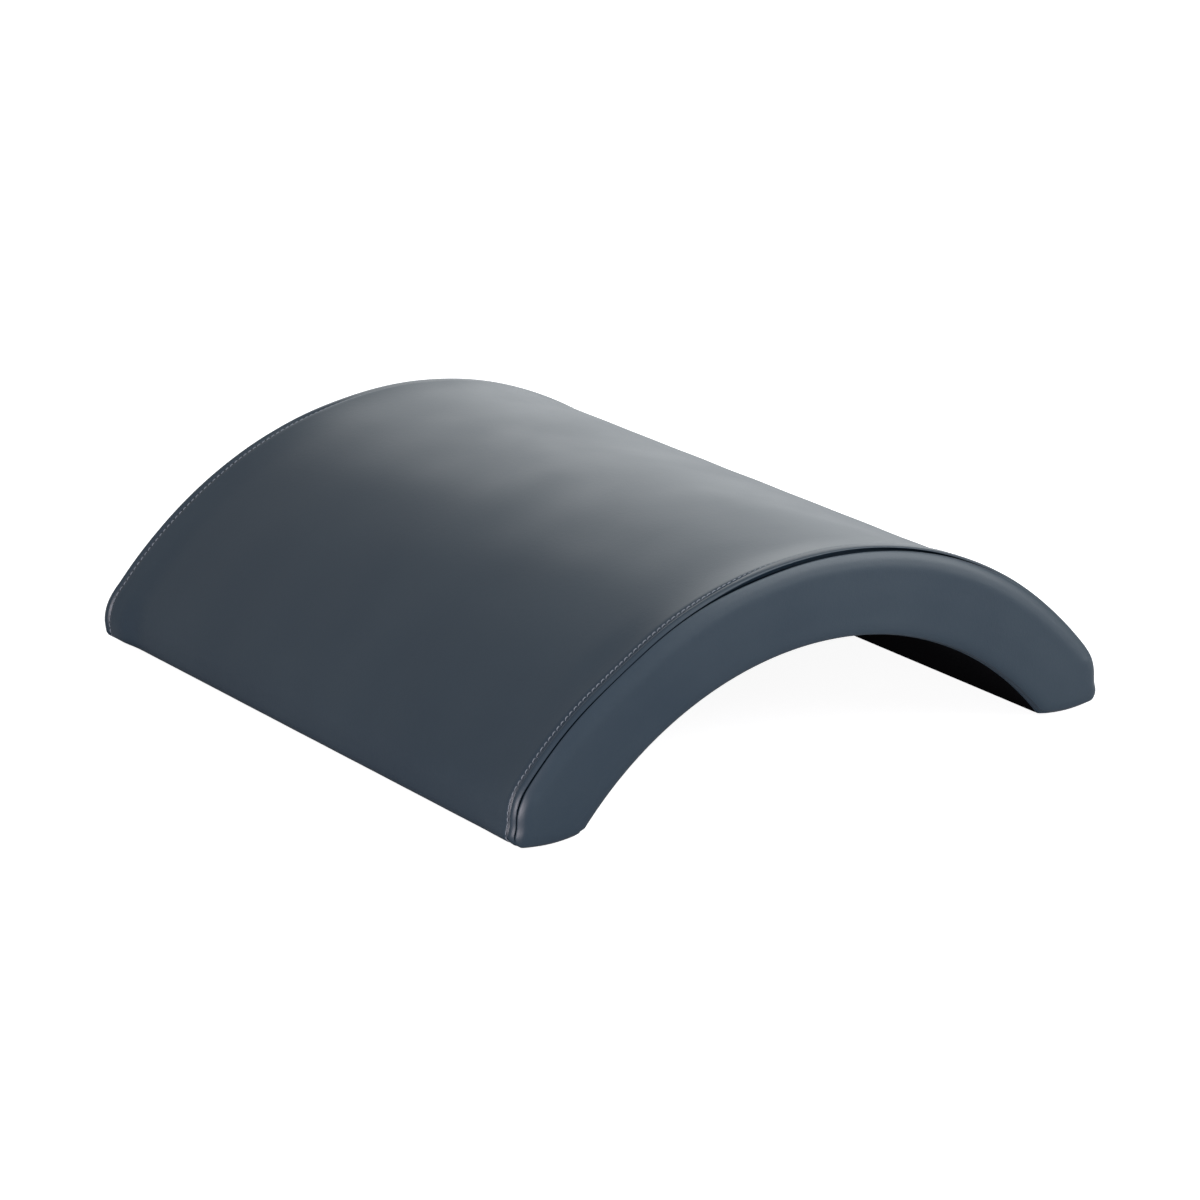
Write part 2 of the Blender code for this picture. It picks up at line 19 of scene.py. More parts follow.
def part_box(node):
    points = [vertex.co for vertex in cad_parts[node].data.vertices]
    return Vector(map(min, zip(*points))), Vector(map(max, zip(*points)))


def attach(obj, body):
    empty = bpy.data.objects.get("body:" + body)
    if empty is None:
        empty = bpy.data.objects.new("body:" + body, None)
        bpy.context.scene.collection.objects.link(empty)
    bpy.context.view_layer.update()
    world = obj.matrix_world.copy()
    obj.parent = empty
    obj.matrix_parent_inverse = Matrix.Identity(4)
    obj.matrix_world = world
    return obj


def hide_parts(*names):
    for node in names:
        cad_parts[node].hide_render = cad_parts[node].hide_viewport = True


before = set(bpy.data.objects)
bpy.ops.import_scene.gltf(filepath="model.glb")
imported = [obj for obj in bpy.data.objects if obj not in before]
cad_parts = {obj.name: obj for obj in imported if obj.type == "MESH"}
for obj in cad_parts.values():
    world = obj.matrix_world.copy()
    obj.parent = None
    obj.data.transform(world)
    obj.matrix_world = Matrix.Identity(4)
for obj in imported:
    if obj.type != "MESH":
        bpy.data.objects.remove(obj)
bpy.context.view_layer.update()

LOG = logging.getLogger("back_stretcher")
BODY = "root"
MM_PER_M = 1000

Array = np.ndarray
Object = bpy.types.Object
Material = bpy.types.Material
Node = bpy.types.Node
Socket = bpy.types.NodeSocket
Sockets = bpy.types.NodeOutputs
Table = tuple[tuple[float, float], ...]
LinePoints = tuple[Array, Array, Array, Array]
Colour = tuple[float, float, float, float]


class Slot(Enum):
    """The record's material slots that the new pieces belong to."""

    VINYL = "vinyl"
    FOAM = "foam"
    THREAD = "thread"
    LINING = "lining_cloth"
    RUBBER = "rubber"
    STEEL = "zinc_steel"


class End(Enum):
    """An end of the arch, with the sign of its Y."""

    FRONT = -1
    REAR = 1

    @property
    def word(self) -> str:
        """The end's name as the nodes spell it."""
        return self.name.lower()


class Side(Enum):
    """A side of the arch, with the sign of its X."""

    LEFT = -1
    RIGHT = 1

    @property
    def word(self) -> str:
        """The side's name as the nodes spell it."""
        return self.name.lower()


class Grain(Enum):
    """The axis along which wood was cut, with the turn that brings its figure there."""

    ALONG_X = 0.0
    ALONG_Y = -math.pi / 2


@dataclass(frozen=True)
class Ramp:
    """A smooth rise from 0 at one value to 1 at another, which may lie below the first."""

    start: float
    end: float

    def at(self, values: Array | float) -> Array:
        """How far the ramp has risen at some values."""
        share = np.clip((values - self.start) / (self.end - self.start), 0.0, 1.0)
        return share * share * (3.0 - 2.0 * share)


@dataclass(frozen=True)
class Hills:
    """Slow hills and hollows over a surface, the same on each run."""

    wavelength: float
    seed: int
    waves: int = 8
    shortest: float = 0.7
    longest: float = 1.5

    def heights(self, along: Array, across: Array) -> Array:
        """Heights of about -1 to 1.

        Args:
            along: One coordinate of each point on the surface.
            across: The other coordinate.

        Returns:
            The points' heights.
        """
        draw = np.random.default_rng(self.seed)
        total = np.zeros(np.broadcast(along, across).shape)
        for _ in range(self.waves):
            heading = draw.uniform(0.0, math.pi)
            pace = math.tau / (self.wavelength * draw.uniform(self.shortest, self.longest))
            phase = draw.uniform(0.0, math.tau)
            total += np.sin(pace * (along * math.cos(heading) + across * math.sin(heading)) + phase)
        return total / math.sqrt(2.0 * self.waves)


def through_points(table: Table, count: int) -> Array:
    """A smooth line through a few points.

    Args:
        table: The points that it goes through.
        count: How many points it gets.

    Returns:
        An array of count rows and two columns.
    """
    knots = np.array(table)
    before = 2 * knots[:1] - knots[1:2]
    after = 2 * knots[-1:] - knots[-2:-1]
    padded = np.vstack([before, knots, after])
    places = np.linspace(0.0, len(knots) - 1.0, count)
    first = np.minimum(places.astype(int), len(knots) - 2)
    share = (places - first)[:, None]
    a, b, c, d = (padded[first + step] for step in range(4))
    bend = 2 * b + (c - a) * share + (2 * a - 5 * b + 4 * c - d) * share ** 2
    return 0.5 * (bend + (3 * b - a - 3 * c + d) * share ** 3)


@dataclass(frozen=True)
class ArchSection:
    """The section across the arch: the sizes that its outer and inner lines follow.

    The outer line is five stretches from the top to the hem under a foot: the arch, the
    shoulder, the side, the foot's rolled edge and the foot's underside. A place on it is a
    stretch's number plus how far along that stretch it is, negative on the left. Sizes are in
    metres, apart from end_gap, which keeps the last place inside its stretch.
    """

    half_width: float
    top_z: float
    foot_z: float
    side_height: float = 0.021
    shoulder_radius: float = 0.0405
    roll_radius: float = 0.008
    foot_width: float = 0.0587
    band_thickness: float = 0.0687
    hem_spare: float = 0.0026
    end_gap: float = 0.000000001

    @classmethod
    def from_frame(cls) -> "ArchSection":
        """Reads the section's overall sizes from the frame's top cover."""
        low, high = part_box("top_cover")
        return cls(half_width=high.x, top_z=high.z, foot_z=low.z)

    @cached_property
    def shoulder(self) -> tuple[float, float]:
        """The centre of the right shoulder."""
        return self.half_width - self.shoulder_radius, self.foot_z + self.side_height

    @cached_property
    def arch_radius(self) -> float:
        """The radius of the arch that runs smoothly into both shoulders."""
        reach = self.shoulder[0]
        rise = self.top_z - self.shoulder[1]
        square = reach ** 2 + rise ** 2 - self.shoulder_radius ** 2
        return square / (2.0 * (rise - self.shoulder_radius))

    @cached_property
    def centre_z(self) -> float:
        """The height of the arch's centre."""
        return self.top_z - self.arch_radius

    @cached_property
    def junction(self) -> float:
        """The angle from the top at which the arch meets a shoulder."""
        return math.atan2(self.shoulder[0], self.shoulder[1] - self.centre_z)

    @cached_property
    def inner_radius(self) -> float:
        """The radius of the opening's arc."""
        reach = self.half_width - self.foot_width
        rise = self.top_z - self.band_thickness - self.foot_z
        return (reach ** 2 + rise ** 2) / (2.0 * rise)

    @cached_property
    def inner_centre_z(self) -> float:
        """The height of the centre of the opening's arc."""
        return self.top_z - self.band_thickness - self.inner_radius

    @cached_property
    def lengths(self) -> Array:
        """The lengths of the outer line's five stretches."""
        return np.array([
            self.arch_radius * self.junction,
            self.shoulder_radius * (math.pi / 2 - self.junction),
            self.side_height - self.roll_radius,
            self.roll_radius * math.pi / 2,
            self.foot_width - self.roll_radius - self.hem_spare,
        ])

    def places_at(self, along: Array) -> Array:
        """Turns distances from the top, negative on the left, into places on the outer line."""
        ends = np.concatenate([[0.0], np.cumsum(self.lengths)])
        return np.sign(along) * np.interp(np.abs(along), ends, np.arange(len(ends)))

    def distance_to(self, stretch: int) -> float:
        """The distance from the top to where a stretch starts."""
        return float(self.lengths[:stretch].sum())

    def outer_line(self, places: Array, side_inset: Array, bottom_inset: Array) -> LinePoints:
        """Points of the outer line, drawn in from the finished surface.

        Args:
            places: Places on the line.
            side_inset: How far each point is drawn in along the arch, shoulder and side.
            bottom_inset: How far the underside of a foot is drawn in.

        Returns:
            Arrays of the points' x and z and of their outward normals' x and z.
        """
        sign = np.where(places < 0, -1.0, 1.0)
        size = np.clip(np.abs(places), 0.0, len(self.lengths) - self.end_gap)
        size, side_inset, bottom_inset = np.broadcast_arrays(size, side_inset, bottom_inset)
        stretch = size.astype(int)
        share = size - stretch
        deepest = np.maximum(np.maximum(side_inset, bottom_inset), 0.0)
        roll = self.roll_radius ** 2 / (self.roll_radius + deepest)
        roll_x = self.half_width - side_inset - roll
        roll_z = self.foot_z + bottom_inset + roll
        shoulder_x, shoulder_z = self.shoulder
        quarter = math.pi / 2
        angle = np.choose(stretch, [
            self.junction * share,
            self.junction + (quarter - self.junction) * share,
            np.full(size.shape, quarter),
            quarter * (1.0 + share),
            np.full(size.shape, 2.0 * quarter),
        ])
        out_x, out_z = np.sin(angle), np.cos(angle)
        arch = self.arch_radius - side_inset
        bend = self.shoulder_radius - side_inset
        hem_x = self.half_width - self.foot_width + self.hem_spare
        x = np.choose(stretch, [
            arch * out_x,
            shoulder_x + bend * out_x,
            self.half_width - side_inset,
            roll_x + roll * out_x,
            roll_x + (hem_x - roll_x) * share,
        ])
        z = np.choose(stretch, [
            self.centre_z + arch * out_z,
            shoulder_z + bend * out_z,
            shoulder_z + (roll_z - shoulder_z) * share,
            roll_z + roll * out_z,
            self.foot_z + bottom_inset,
        ])
        return sign * x, z, sign * out_x, out_z

    def inner_line(self, shares: Array, inset: Array, height: float) -> tuple[Array, Array]:
        """Points of the opening's arc from the right foot, at share 0, to the left foot.

        Args:
            shares: How far along the arc each point is.
            inset: How far each point is drawn into the padding.
            height: The height at which the arc starts and ends.

        Returns:
            Arrays of the points' x and z.
        """
        radius = self.inner_radius + inset
        reach = np.arccos((height - self.inner_centre_z) / radius)
        angle = reach * (1.0 - 2.0 * shares)
        return radius * np.sin(angle), self.inner_centre_z + radius * np.cos(angle)


def mesh_from_grid(name: str, grid: Array, round_columns: bool = False) -> Object:
    """Makes a surface through a grid of points.

    Args:
        name: The new object's name.
        grid: Points in rows and columns, with x, y and z last. A row runs leftward where
            the next row lies behind it, seen from outside.
        round_columns: Whether each row closes on itself.

    Returns:
        The new object, at the origin.
    """
    rows, columns = grid.shape[:2]
    numbers = np.arange(rows * columns).reshape(rows, columns)
    beside = np.roll(numbers, -1, axis=1)
    if not round_columns:
        numbers, beside = numbers[:, :-1], numbers[:, 1:]
    faces = np.stack([numbers[:-1], beside[:-1], beside[1:], numbers[1:]], axis=-1).reshape(-1, 4)
    mesh = bpy.data.meshes.new(name)
    mesh.from_pydata(grid.reshape(-1, 3).tolist(), [], faces.tolist())
    return add_piece(name, mesh)


def add_piece(name: str, mesh: bpy.types.Mesh) -> Object:
    """Puts a mesh in the scene.

    Args:
        name: The new object's name.
        mesh: Its mesh, which is checked and shaded smooth.

    Returns:
        The new object, at the origin.
    """
    mesh.validate()
    mesh.shade_smooth()
    piece = bpy.data.objects.new(name, mesh)
    bpy.context.scene.collection.objects.link(piece)
    return piece


def add_wall(piece: Object, thickness: float) -> None:
    """Gives an open surface a thickness.

    Args:
        piece: The surface, with its faces turned outward.
        thickness: How far the wall reaches inward.
    """
    wall = piece.modifiers.new("wall", "SOLIDIFY")
    wall.thickness = thickness
    wall.offset = -1.0


def weld(piece: Object, distance: float = 0.00001) -> None:
    """Merges vertices that lie together.

    Args:
        piece: The piece to mend.
        distance: How far apart such vertices may be.
    """
    mesh = bmesh.new()
    mesh.from_mesh(piece.data)
    bmesh.ops.remove_doubles(mesh, verts=mesh.verts, dist=distance)
    mesh.to_mesh(piece.data)
    mesh.free()
    piece.data.shade_smooth()


def select_only(piece: Object) -> None:
    """Makes one piece the only selected and the active one.

    Args:
        piece: The piece to select.
    """
    for other in bpy.context.selected_objects:
        other.select_set(False)
    piece.select_set(True)
    bpy.context.view_layer.objects.active = piece


def apply_modifiers(piece: Object) -> None:
    """Applies every modifier.

    Args:
        piece: The piece that has them.
    """
    select_only(piece)
    for modifier in list(piece.modifiers):
        bpy.ops.object.modifier_apply(modifier=modifier.name)


def settle(piece: Object, slot: Slot, material: Material, *nodes: str) -> None:
    """Dresses a finished piece, puts it on the frame's body and lets it stand for nodes.

    Args:
        piece: The piece, in place.
        slot: Not used.
        material: Its material.
        nodes: The frame's nodes that it replaces.
    """
    piece.data.materials.clear()
    piece.data.materials.append(material)
    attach(piece, BODY)
    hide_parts(*nodes)
    triangles = sum(len(polygon.vertices) - 2 for polygon in piece.data.polygons)
    LOG.info("%s: %d triangles before its wall, stands for %s", piece.name, triangles, nodes)


class Tree:
    """A node tree that is filled one node at a time."""

    MIX_SHARE, MIX_FIRST, MIX_SECOND, MIX_COLOUR = 0, 6, 7, 2

    def __init__(self, tree: bpy.types.NodeTree) -> None:
        """Starts on an empty or cleared tree."""
        self.tree = tree
        tree.nodes.clear()

    def add(self, kind: str, inputs: dict | None = None, **settings) -> Node:
        """Adds a node.

        Args:
            kind: The node's type.
            inputs: Values or source sockets, by the input's name or number.
            settings: The node's own settings.

        Returns:
            The new node.
        """
        node = self.tree.nodes.new(kind)
        for name, value in settings.items():
            setattr(node, name, value)
        for name, value in (inputs or {}).items():
            if isinstance(value, Socket):
                self.tree.links.new(value, node.inputs[name])
            else:
                node.inputs[name].default_value = value
        return node

    def scaled_sum(self, value: Socket, factor: float, rest: Socket) -> Socket:
        """Multiplies a value by a factor, adds the rest and returns the result."""
        inputs = {0: value, 1: factor, 2: rest}
        return self.add("ShaderNodeMath", inputs, operation="MULTIPLY_ADD").outputs[0]

    def ramp(
            self, value: Socket, start: float, end: float,
            low: float = 0.0, high: float = 1.0) -> Socket:
        """Maps a value from one range to another and returns the result."""
        inputs = {"Value": value, "From Min": start, "From Max": end, "To Min": low, "To Max": high}
        return self.add("ShaderNodeMapRange", inputs).outputs["Result"]

    def mix(self, share: Socket, first: Colour, second: Colour) -> Socket:
        """Mixes two colours and returns the result."""
        inputs = {self.MIX_SHARE: share, self.MIX_FIRST: first, self.MIX_SECOND: second}
        return self.add("ShaderNodeMix", inputs, data_type="RGBA").outputs[self.MIX_COLOUR]


def rgba(red: float, green: float, blue: float) -> Colour:
    """A linear colour with full alpha."""
    return red, green, blue, 1.0


class PatternGroups:
    """The node groups that several materials share."""

    CELL_HEIGHT = 0.7
    ALONG_WOOD = (0.09, 1.0, 1.0)

    def __init__(self) -> None:
        """Builds each group once."""
        self.grain = self._grain()
        self.handling = self._handling()
        self.rings = self._rings()

    @staticmethod
    def _open(name: str, inputs: dict[str, float]) -> tuple[Tree, Sockets]:
        """Starts a group with a position input and number inputs.

        Args:
            name: The group's name.
            inputs: The number inputs' names and usual values.

        Returns:
            The group's tree and the sockets that bring its inputs in.
        """
        group = bpy.data.node_groups.new(name, "ShaderNodeTree")
        tree = Tree(group)
        group.interface.new_socket("Position", in_out="INPUT", socket_type="NodeSocketVector")
        for socket, value in inputs.items():
            made = group.interface.new_socket(socket, in_out="INPUT", socket_type="NodeSocketFloat")
            made.default_value = value
        return tree, tree.add("NodeGroupInput").outputs

    @staticmethod
    def _close(tree: Tree, outputs: dict[str, Socket]) -> bpy.types.NodeTree:
        """Ends a group with its number outputs.

        Args:
            tree: The group's tree.
            outputs: Each output's name and source.

        Returns:
            The finished group.
        """
        for socket in outputs:
            tree.tree.interface.new_socket(socket, in_out="OUTPUT", socket_type="NodeSocketFloat")
        tree.add("NodeGroupOutput", outputs)
        return tree.tree

    def _grain(self) -> bpy.types.NodeTree:
        """Fine pebbled cells with softer folds over them, as embossed in vinyl.

        Returns:
            The group.
        """
        tree, inside = self._open("embossed_grain", {"Cells per Metre": 900.0})
        place = inside["Position"]
        cells = tree.add("ShaderNodeTexVoronoi", {
            "Vector": place, "Scale": inside["Cells per Metre"]}, feature="SMOOTH_F1")
        folds = tree.add("ShaderNodeTexNoise", {"Vector": place, "Scale": 240.0, "Detail": 3.0})
        height = tree.scaled_sum(cells.outputs["Distance"], self.CELL_HEIGHT, folds.outputs["Fac"])
        return self._close(tree, {"Height": height})

    def _handling(self) -> bpy.types.NodeTree:
        """Broad patches where a surface is duller or paler than the rest, and fine specks.

        Returns:
            The group.
        """
        tree, inside = self._open("handling_marks", {"Scale": 9.0, "Fine Scale": 160.0})
        place = inside["Position"]
        broad = tree.add("ShaderNodeTexNoise", {
            "Vector": place, "Scale": inside["Scale"], "Detail": 4.0, "Distortion": 0.4})
        fine = tree.add("ShaderNodeTexNoise", {
            "Vector": place, "Scale": inside["Fine Scale"], "Detail": 2.0})
        return self._close(tree, {
            "Patches": tree.ramp(broad.outputs["Fac"], start=0.3, end=0.7),
            "Specks": tree.ramp(fine.outputs["Fac"], start=0.35, end=0.75)})

    def _rings(self) -> bpy.types.NodeTree:
        """The year rings and fibres of wood whose length runs along the local X.

        Returns:
            The group.
        """
        tree, inside = self._open("wood_rings", {"Rings per Metre": 160.0})
        stretched = tree.add("ShaderNodeVectorMath", {
            0: inside["Position"], 1: self.ALONG_WOOD}, operation="MULTIPLY").outputs[0]
        rings = tree.add("ShaderNodeTexWave", {
            "Vector": stretched, "Scale": inside["Rings per Metre"],
            "Distortion": 5.0, "Detail": 2.0, "Detail Scale": 0.6,
        }, wave_type="RINGS", rings_direction="X", wave_profile="SAW")
        fibres = tree.add("ShaderNodeTexNoise", {"Vector": stretched, "Scale": 900.0, "Detail": 4.0})
        return self._close(tree, {"Late Wood": rings.outputs["Fac"], "Fibres": fibres.outputs["Fac"]})


class Canvas(Tree):
    """A material's tree, with the shared groups and the object's coordinates at hand."""

    def __init__(self, material: Material, groups: PatternGroups) -> None:
        """Starts on a new material.

        Args:
            material: The material.
            groups: The shared node groups.
        """
        material.use_nodes = True
        super().__init__(material.node_tree)
        self.groups = groups
        self.place = self.add("ShaderNodeTexCoord").outputs["Object"]

    def use(self, group: bpy.types.NodeTree, place: Socket | None = None, **inputs: float) -> Sockets:
        """Adds a shared group.

        Args:
            group: The shared group.
            place: The position, where it isn't the object's own coordinates.
            inputs: The group's numbers, with underscores for spaces.

        Returns:
            The group's outputs.
        """
        values = {name.replace("_", " "): value for name, value in inputs.items()}
        values["Position"] = place or self.place
        return self.add("ShaderNodeGroup", values, node_tree=group).outputs


@dataclass
class Pattern:
    """What runs over a finish: how its colours mix, its height and other inputs of its shader."""

    share: Socket
    height: Socket | None = None
    look: dict[str, Socket | float] = field(default_factory=dict)


@dataclass(frozen=True)
class Finish:
    """What all finishes have: two close colours, a roughness and the depth of a relief."""

    name: str
    colour: Colour
    other_colour: Colour
    roughness: float = 0.6
    depth: float = 0.0001

    def pattern(self, canvas: Canvas) -> Pattern:
        """Lays the finish's own pattern, which each kind of finish has to say."""
        raise NotImplementedError

    def build(self, groups: PatternGroups) -> Material:
        """Makes the material.

        Args:
            groups: The shared node groups.

        Returns:
            The new material.
        """
        material = bpy.data.materials.new(self.name)
        canvas = Canvas(material, groups)
        pattern = self.pattern(canvas)
        colour = canvas.mix(pattern.share, self.colour, self.other_colour)
        look = {"Base Color": colour, "Roughness": self.roughness, **pattern.look}
        if pattern.height is not None:
            bump = canvas.add("ShaderNodeBump", {"Height": pattern.height, "Distance": self.depth})
            look["Normal"] = bump.outputs[0]
        shader = canvas.add("ShaderNodeBsdfPrincipled", look)
        canvas.add("ShaderNodeOutputMaterial", {"Surface": shader.outputs[0]})
        return material


@dataclass(frozen=True)
class VinylFinish(Finish):
    """Satin upholstery vinyl with a fine embossed grain."""

    roughness: float = 0.39
    dull_roughness: float = 0.45
    depth: float = 0.00005

    def pattern(self, canvas: Canvas) -> Pattern:
        """Mixes by patches that are worn duller, and takes its height from the grain.

        Args:
            canvas: The material's tree.

        Returns:
            The pattern.
        """
        patches = canvas.use(canvas.groups.handling)["Patches"]
        height = canvas.use(canvas.groups.grain)["Height"]
        dull = canvas.ramp(patches, 0.0, 1.0, self.roughness, self.dull_roughness)
        return Pattern(patches, height, {"Roughness": dull})


@dataclass(frozen=True)
class ClothFinish(Finish):
    """A plain woven or spun cloth, thread or foam."""

    specks_per_metre: float = 700.0
    shine: float = 0.3

    def pattern(self, canvas: Canvas) -> Pattern:
        """Mixes and raises by fine specks."""
        specks = canvas.use(canvas.groups.handling, Fine_Scale=self.specks_per_metre)["Specks"]
        return Pattern(specks, specks, {"Specular IOR Level": self.shine})


@dataclass(frozen=True)
class WoodFinish(Finish):
    """Sawn wood with its length along one axis, in the colours of early and late wood."""

    grain: Grain = Grain.ALONG_X
    rings_per_metre: float = 160.0
    roughness: float = 0.62
    fibre_share: float = 0.4
    patch_share: float = 0.2
    figure_start: float = 0.2
    figure_end: float = 1.4

    def pattern(self, canvas: Canvas) -> Pattern:
        """Mixes by the rings, the fibres and a few patches, and raises by the fibres.

        Args:
            canvas: The material's tree.

        Returns:
            The pattern.
        """
        turned = canvas.add("ShaderNodeMapping", {
            "Vector": canvas.place, "Rotation": (0.0, 0.0, self.grain.value)}).outputs[0]
        rings = canvas.use(canvas.groups.rings, turned, Rings_per_Metre=self.rings_per_metre)
        marks = canvas.use(canvas.groups.handling)
        figure = canvas.scaled_sum(rings["Fibres"], self.fibre_share, rings["Late Wood"])
        figure = canvas.scaled_sum(marks["Patches"], self.patch_share, figure)
        return Pattern(canvas.ramp(figure, self.figure_start, self.figure_end), rings["Fibres"])


@dataclass(frozen=True)
class MetalFinish(Finish):
    """Zinc-plated steel with its spangle."""

    roughness: float = 0.28
    dull_roughness: float = 0.42
    spangles_per_metre: float = 300.0

    def pattern(self, canvas: Canvas) -> Pattern:
        """Mixes and dulls by the spangle, with no relief.

        Args:
            canvas: The material's tree.

        Returns:
            The pattern.
        """
        patches = canvas.use(canvas.groups.handling, Scale=self.spangles_per_metre)["Patches"]
        dull = canvas.ramp(patches, 0.0, 1.0, self.roughness, self.dull_roughness)
        return Pattern(patches, look={"Roughness": dull, "Metallic": 1.0})


@dataclass(frozen=True)
class RubberFinish(Finish):
    """Moulded rubber with a little dust."""

    roughness: float = 0.7
    depth: float = 0.00005
    dust_scale: float = 60.0
    pores_per_metre: float = 1200.0

    def pattern(self, canvas: Canvas) -> Pattern:
        """Mixes by dusty patches and raises by fine pores."""
        scales = {"Scale": self.dust_scale, "Fine_Scale": self.pores_per_metre}
        marks = canvas.use(canvas.groups.handling, **scales)
        return Pattern(marks["Patches"], marks["Specks"])


class FinishShelf:
    """The finishes of the whole object, each made once."""

    def __init__(self) -> None:
        """Builds the shared groups and then every material."""
        groups = PatternGroups()
        self.vinyl = VinylFinish(
            "slate_vinyl", rgba(0.008, 0.0195, 0.0335), rgba(0.012, 0.0245, 0.0385)).build(groups)
        self.thread = ClothFinish(
            "grey_thread", rgba(0.18, 0.20, 0.23), rgba(0.12, 0.14, 0.17),
            specks_per_metre=1500.0).build(groups)
        # The lining's colours are darker than black cloth: painted shade standing in for the deep shade
        # under the arch.
        self.lining = ClothFinish(
            "black_lining", rgba(0.0018, 0.0018, 0.0022), rgba(0.0032, 0.0032, 0.0038),
            roughness=1.0, specks_per_metre=900.0, shine=0.02).build(groups)
        self.foam = ClothFinish(
            "open_foam", rgba(0.60, 0.56, 0.42), rgba(0.48, 0.44, 0.31),
            roughness=0.95, specks_per_metre=500.0, depth=0.0004).build(groups)
        self.plywood = WoodFinish(
            "birch_plywood", rgba(0.60, 0.43, 0.25), rgba(0.42, 0.27, 0.14),
            rings_per_metre=45.0).build(groups)
        self.pine = WoodFinish(
            "sawn_pine", rgba(0.66, 0.46, 0.24), rgba(0.44, 0.25, 0.10),
            grain=Grain.ALONG_Y).build(groups)
        self.zinc = MetalFinish(
            "zinc_plate", rgba(0.62, 0.63, 0.64), rgba(0.50, 0.52, 0.55)).build(groups)
        self.rubber = RubberFinish(
            "black_rubber", rgba(0.018, 0.018, 0.020), rgba(0.034, 0.034, 0.036)).build(groups)


@dataclass(frozen=True)
class EdgeFit:
    """How one end's sewn edge departs from the section, as the covers are pulled on by hand.

    Places are places on the section's outer line, negative on the left. The ramps of the left
    side take their sign turned round.
    """

    flank_inset: float = 0.0
    flank_place: float = -0.63
    flank_spread: float = 0.16
    right_outset: float = 0.0
    right_ramp: Ramp = Ramp(0.2, 0.6)
    left_outset: float = 0.0
    left_ramp: Ramp = Ramp(0.15, 0.45)
    into_foot: Ramp = Ramp(3.0, 2.0)
    right_closing: float = 0.0010
    right_close_ramp: Ramp = Ramp(0.05, 0.45)
    flank_closing: float = 0.0008
    flank_close_ramp: Ramp = Ramp(0.15, 0.35)
    flank_open_ramp: Ramp = Ramp(1.0, 0.6)
    foot_closing: float = 0.0010
    foot_close_ramp: Ramp = Ramp(1.2, 2.0)
    crest_drop: float = 0.0
    crest_place: float = 0.0
    crest_ramp: Ramp = Ramp(0.7, 0.21)
    level_ramp: Ramp = Ramp(-0.50, -0.08)
    level_end_ramp: Ramp = Ramp(0.80, 0.25)
    corner_flare: float = 0.0
    flare_ramp: Ramp = Ramp(1.0, 2.2)
    flare_end_ramp: Ramp = Ramp(3.8, 2.9)
    foot_sag: float = 0.001

    def inset(self, places: Array) -> Array:
        """How far the edge lies inside the section.

        Args:
            places: Places on the outer line.

        Returns:
            The depth at each place.
        """
        flank = self.flank_inset * np.exp(-((places - self.flank_place) / self.flank_spread) ** 2)
        right = self.right_outset * self.right_ramp.at(places) * self.into_foot.at(places)
        left = self.left_outset * self.left_ramp.at(-places) * self.into_foot.at(-places)
        return flank - right - left

    def level(self, places: Array) -> Array:
        """Where the seam is pulled level, 1 around the top of the arch and on its right."""
        return self.level_ramp.at(places) * self.level_end_ramp.at(places)

    def crest(self, places: Array) -> Array:
        """How far the edge droops near the top of the arch."""
        return self.crest_drop * self.crest_ramp.at(np.abs(places - self.crest_place))

    def flare(self, places: Array) -> Array:
        """How far the foot's corner swells outwards."""
        size = np.abs(places)
        return self.corner_flare * self.flare_ramp.at(size) * self.flare_end_ramp.at(size)

    def closing(self, places: Array) -> Array:
        """How much nearer the end panel's lip comes to the fold.

        Args:
            places: Places on the outer line.

        Returns:
            The distance at each place.
        """
        right = self.right_closing * self.right_close_ramp.at(places)
        flank = self.flank_closing * self.flank_close_ramp.at(-places) * self.flank_open_ramp.at(-places)
        return right + flank + self.foot_closing * self.foot_close_ramp.at(-places)


EDGE_FITS = {
    End.FRONT: EdgeFit(
        flank_inset=0.0027, right_outset=-0.0003, crest_drop=-0.0015, crest_place=0.25,
        corner_flare=0.0018, flare_ramp=Ramp(2.2, 3.0), foot_sag=0.002),
    End.REAR: EdgeFit(
        right_outset=-0.0014, left_outset=0.0011, corner_flare=0.0065, flare_ramp=Ramp(0.4, 2.4)),
}


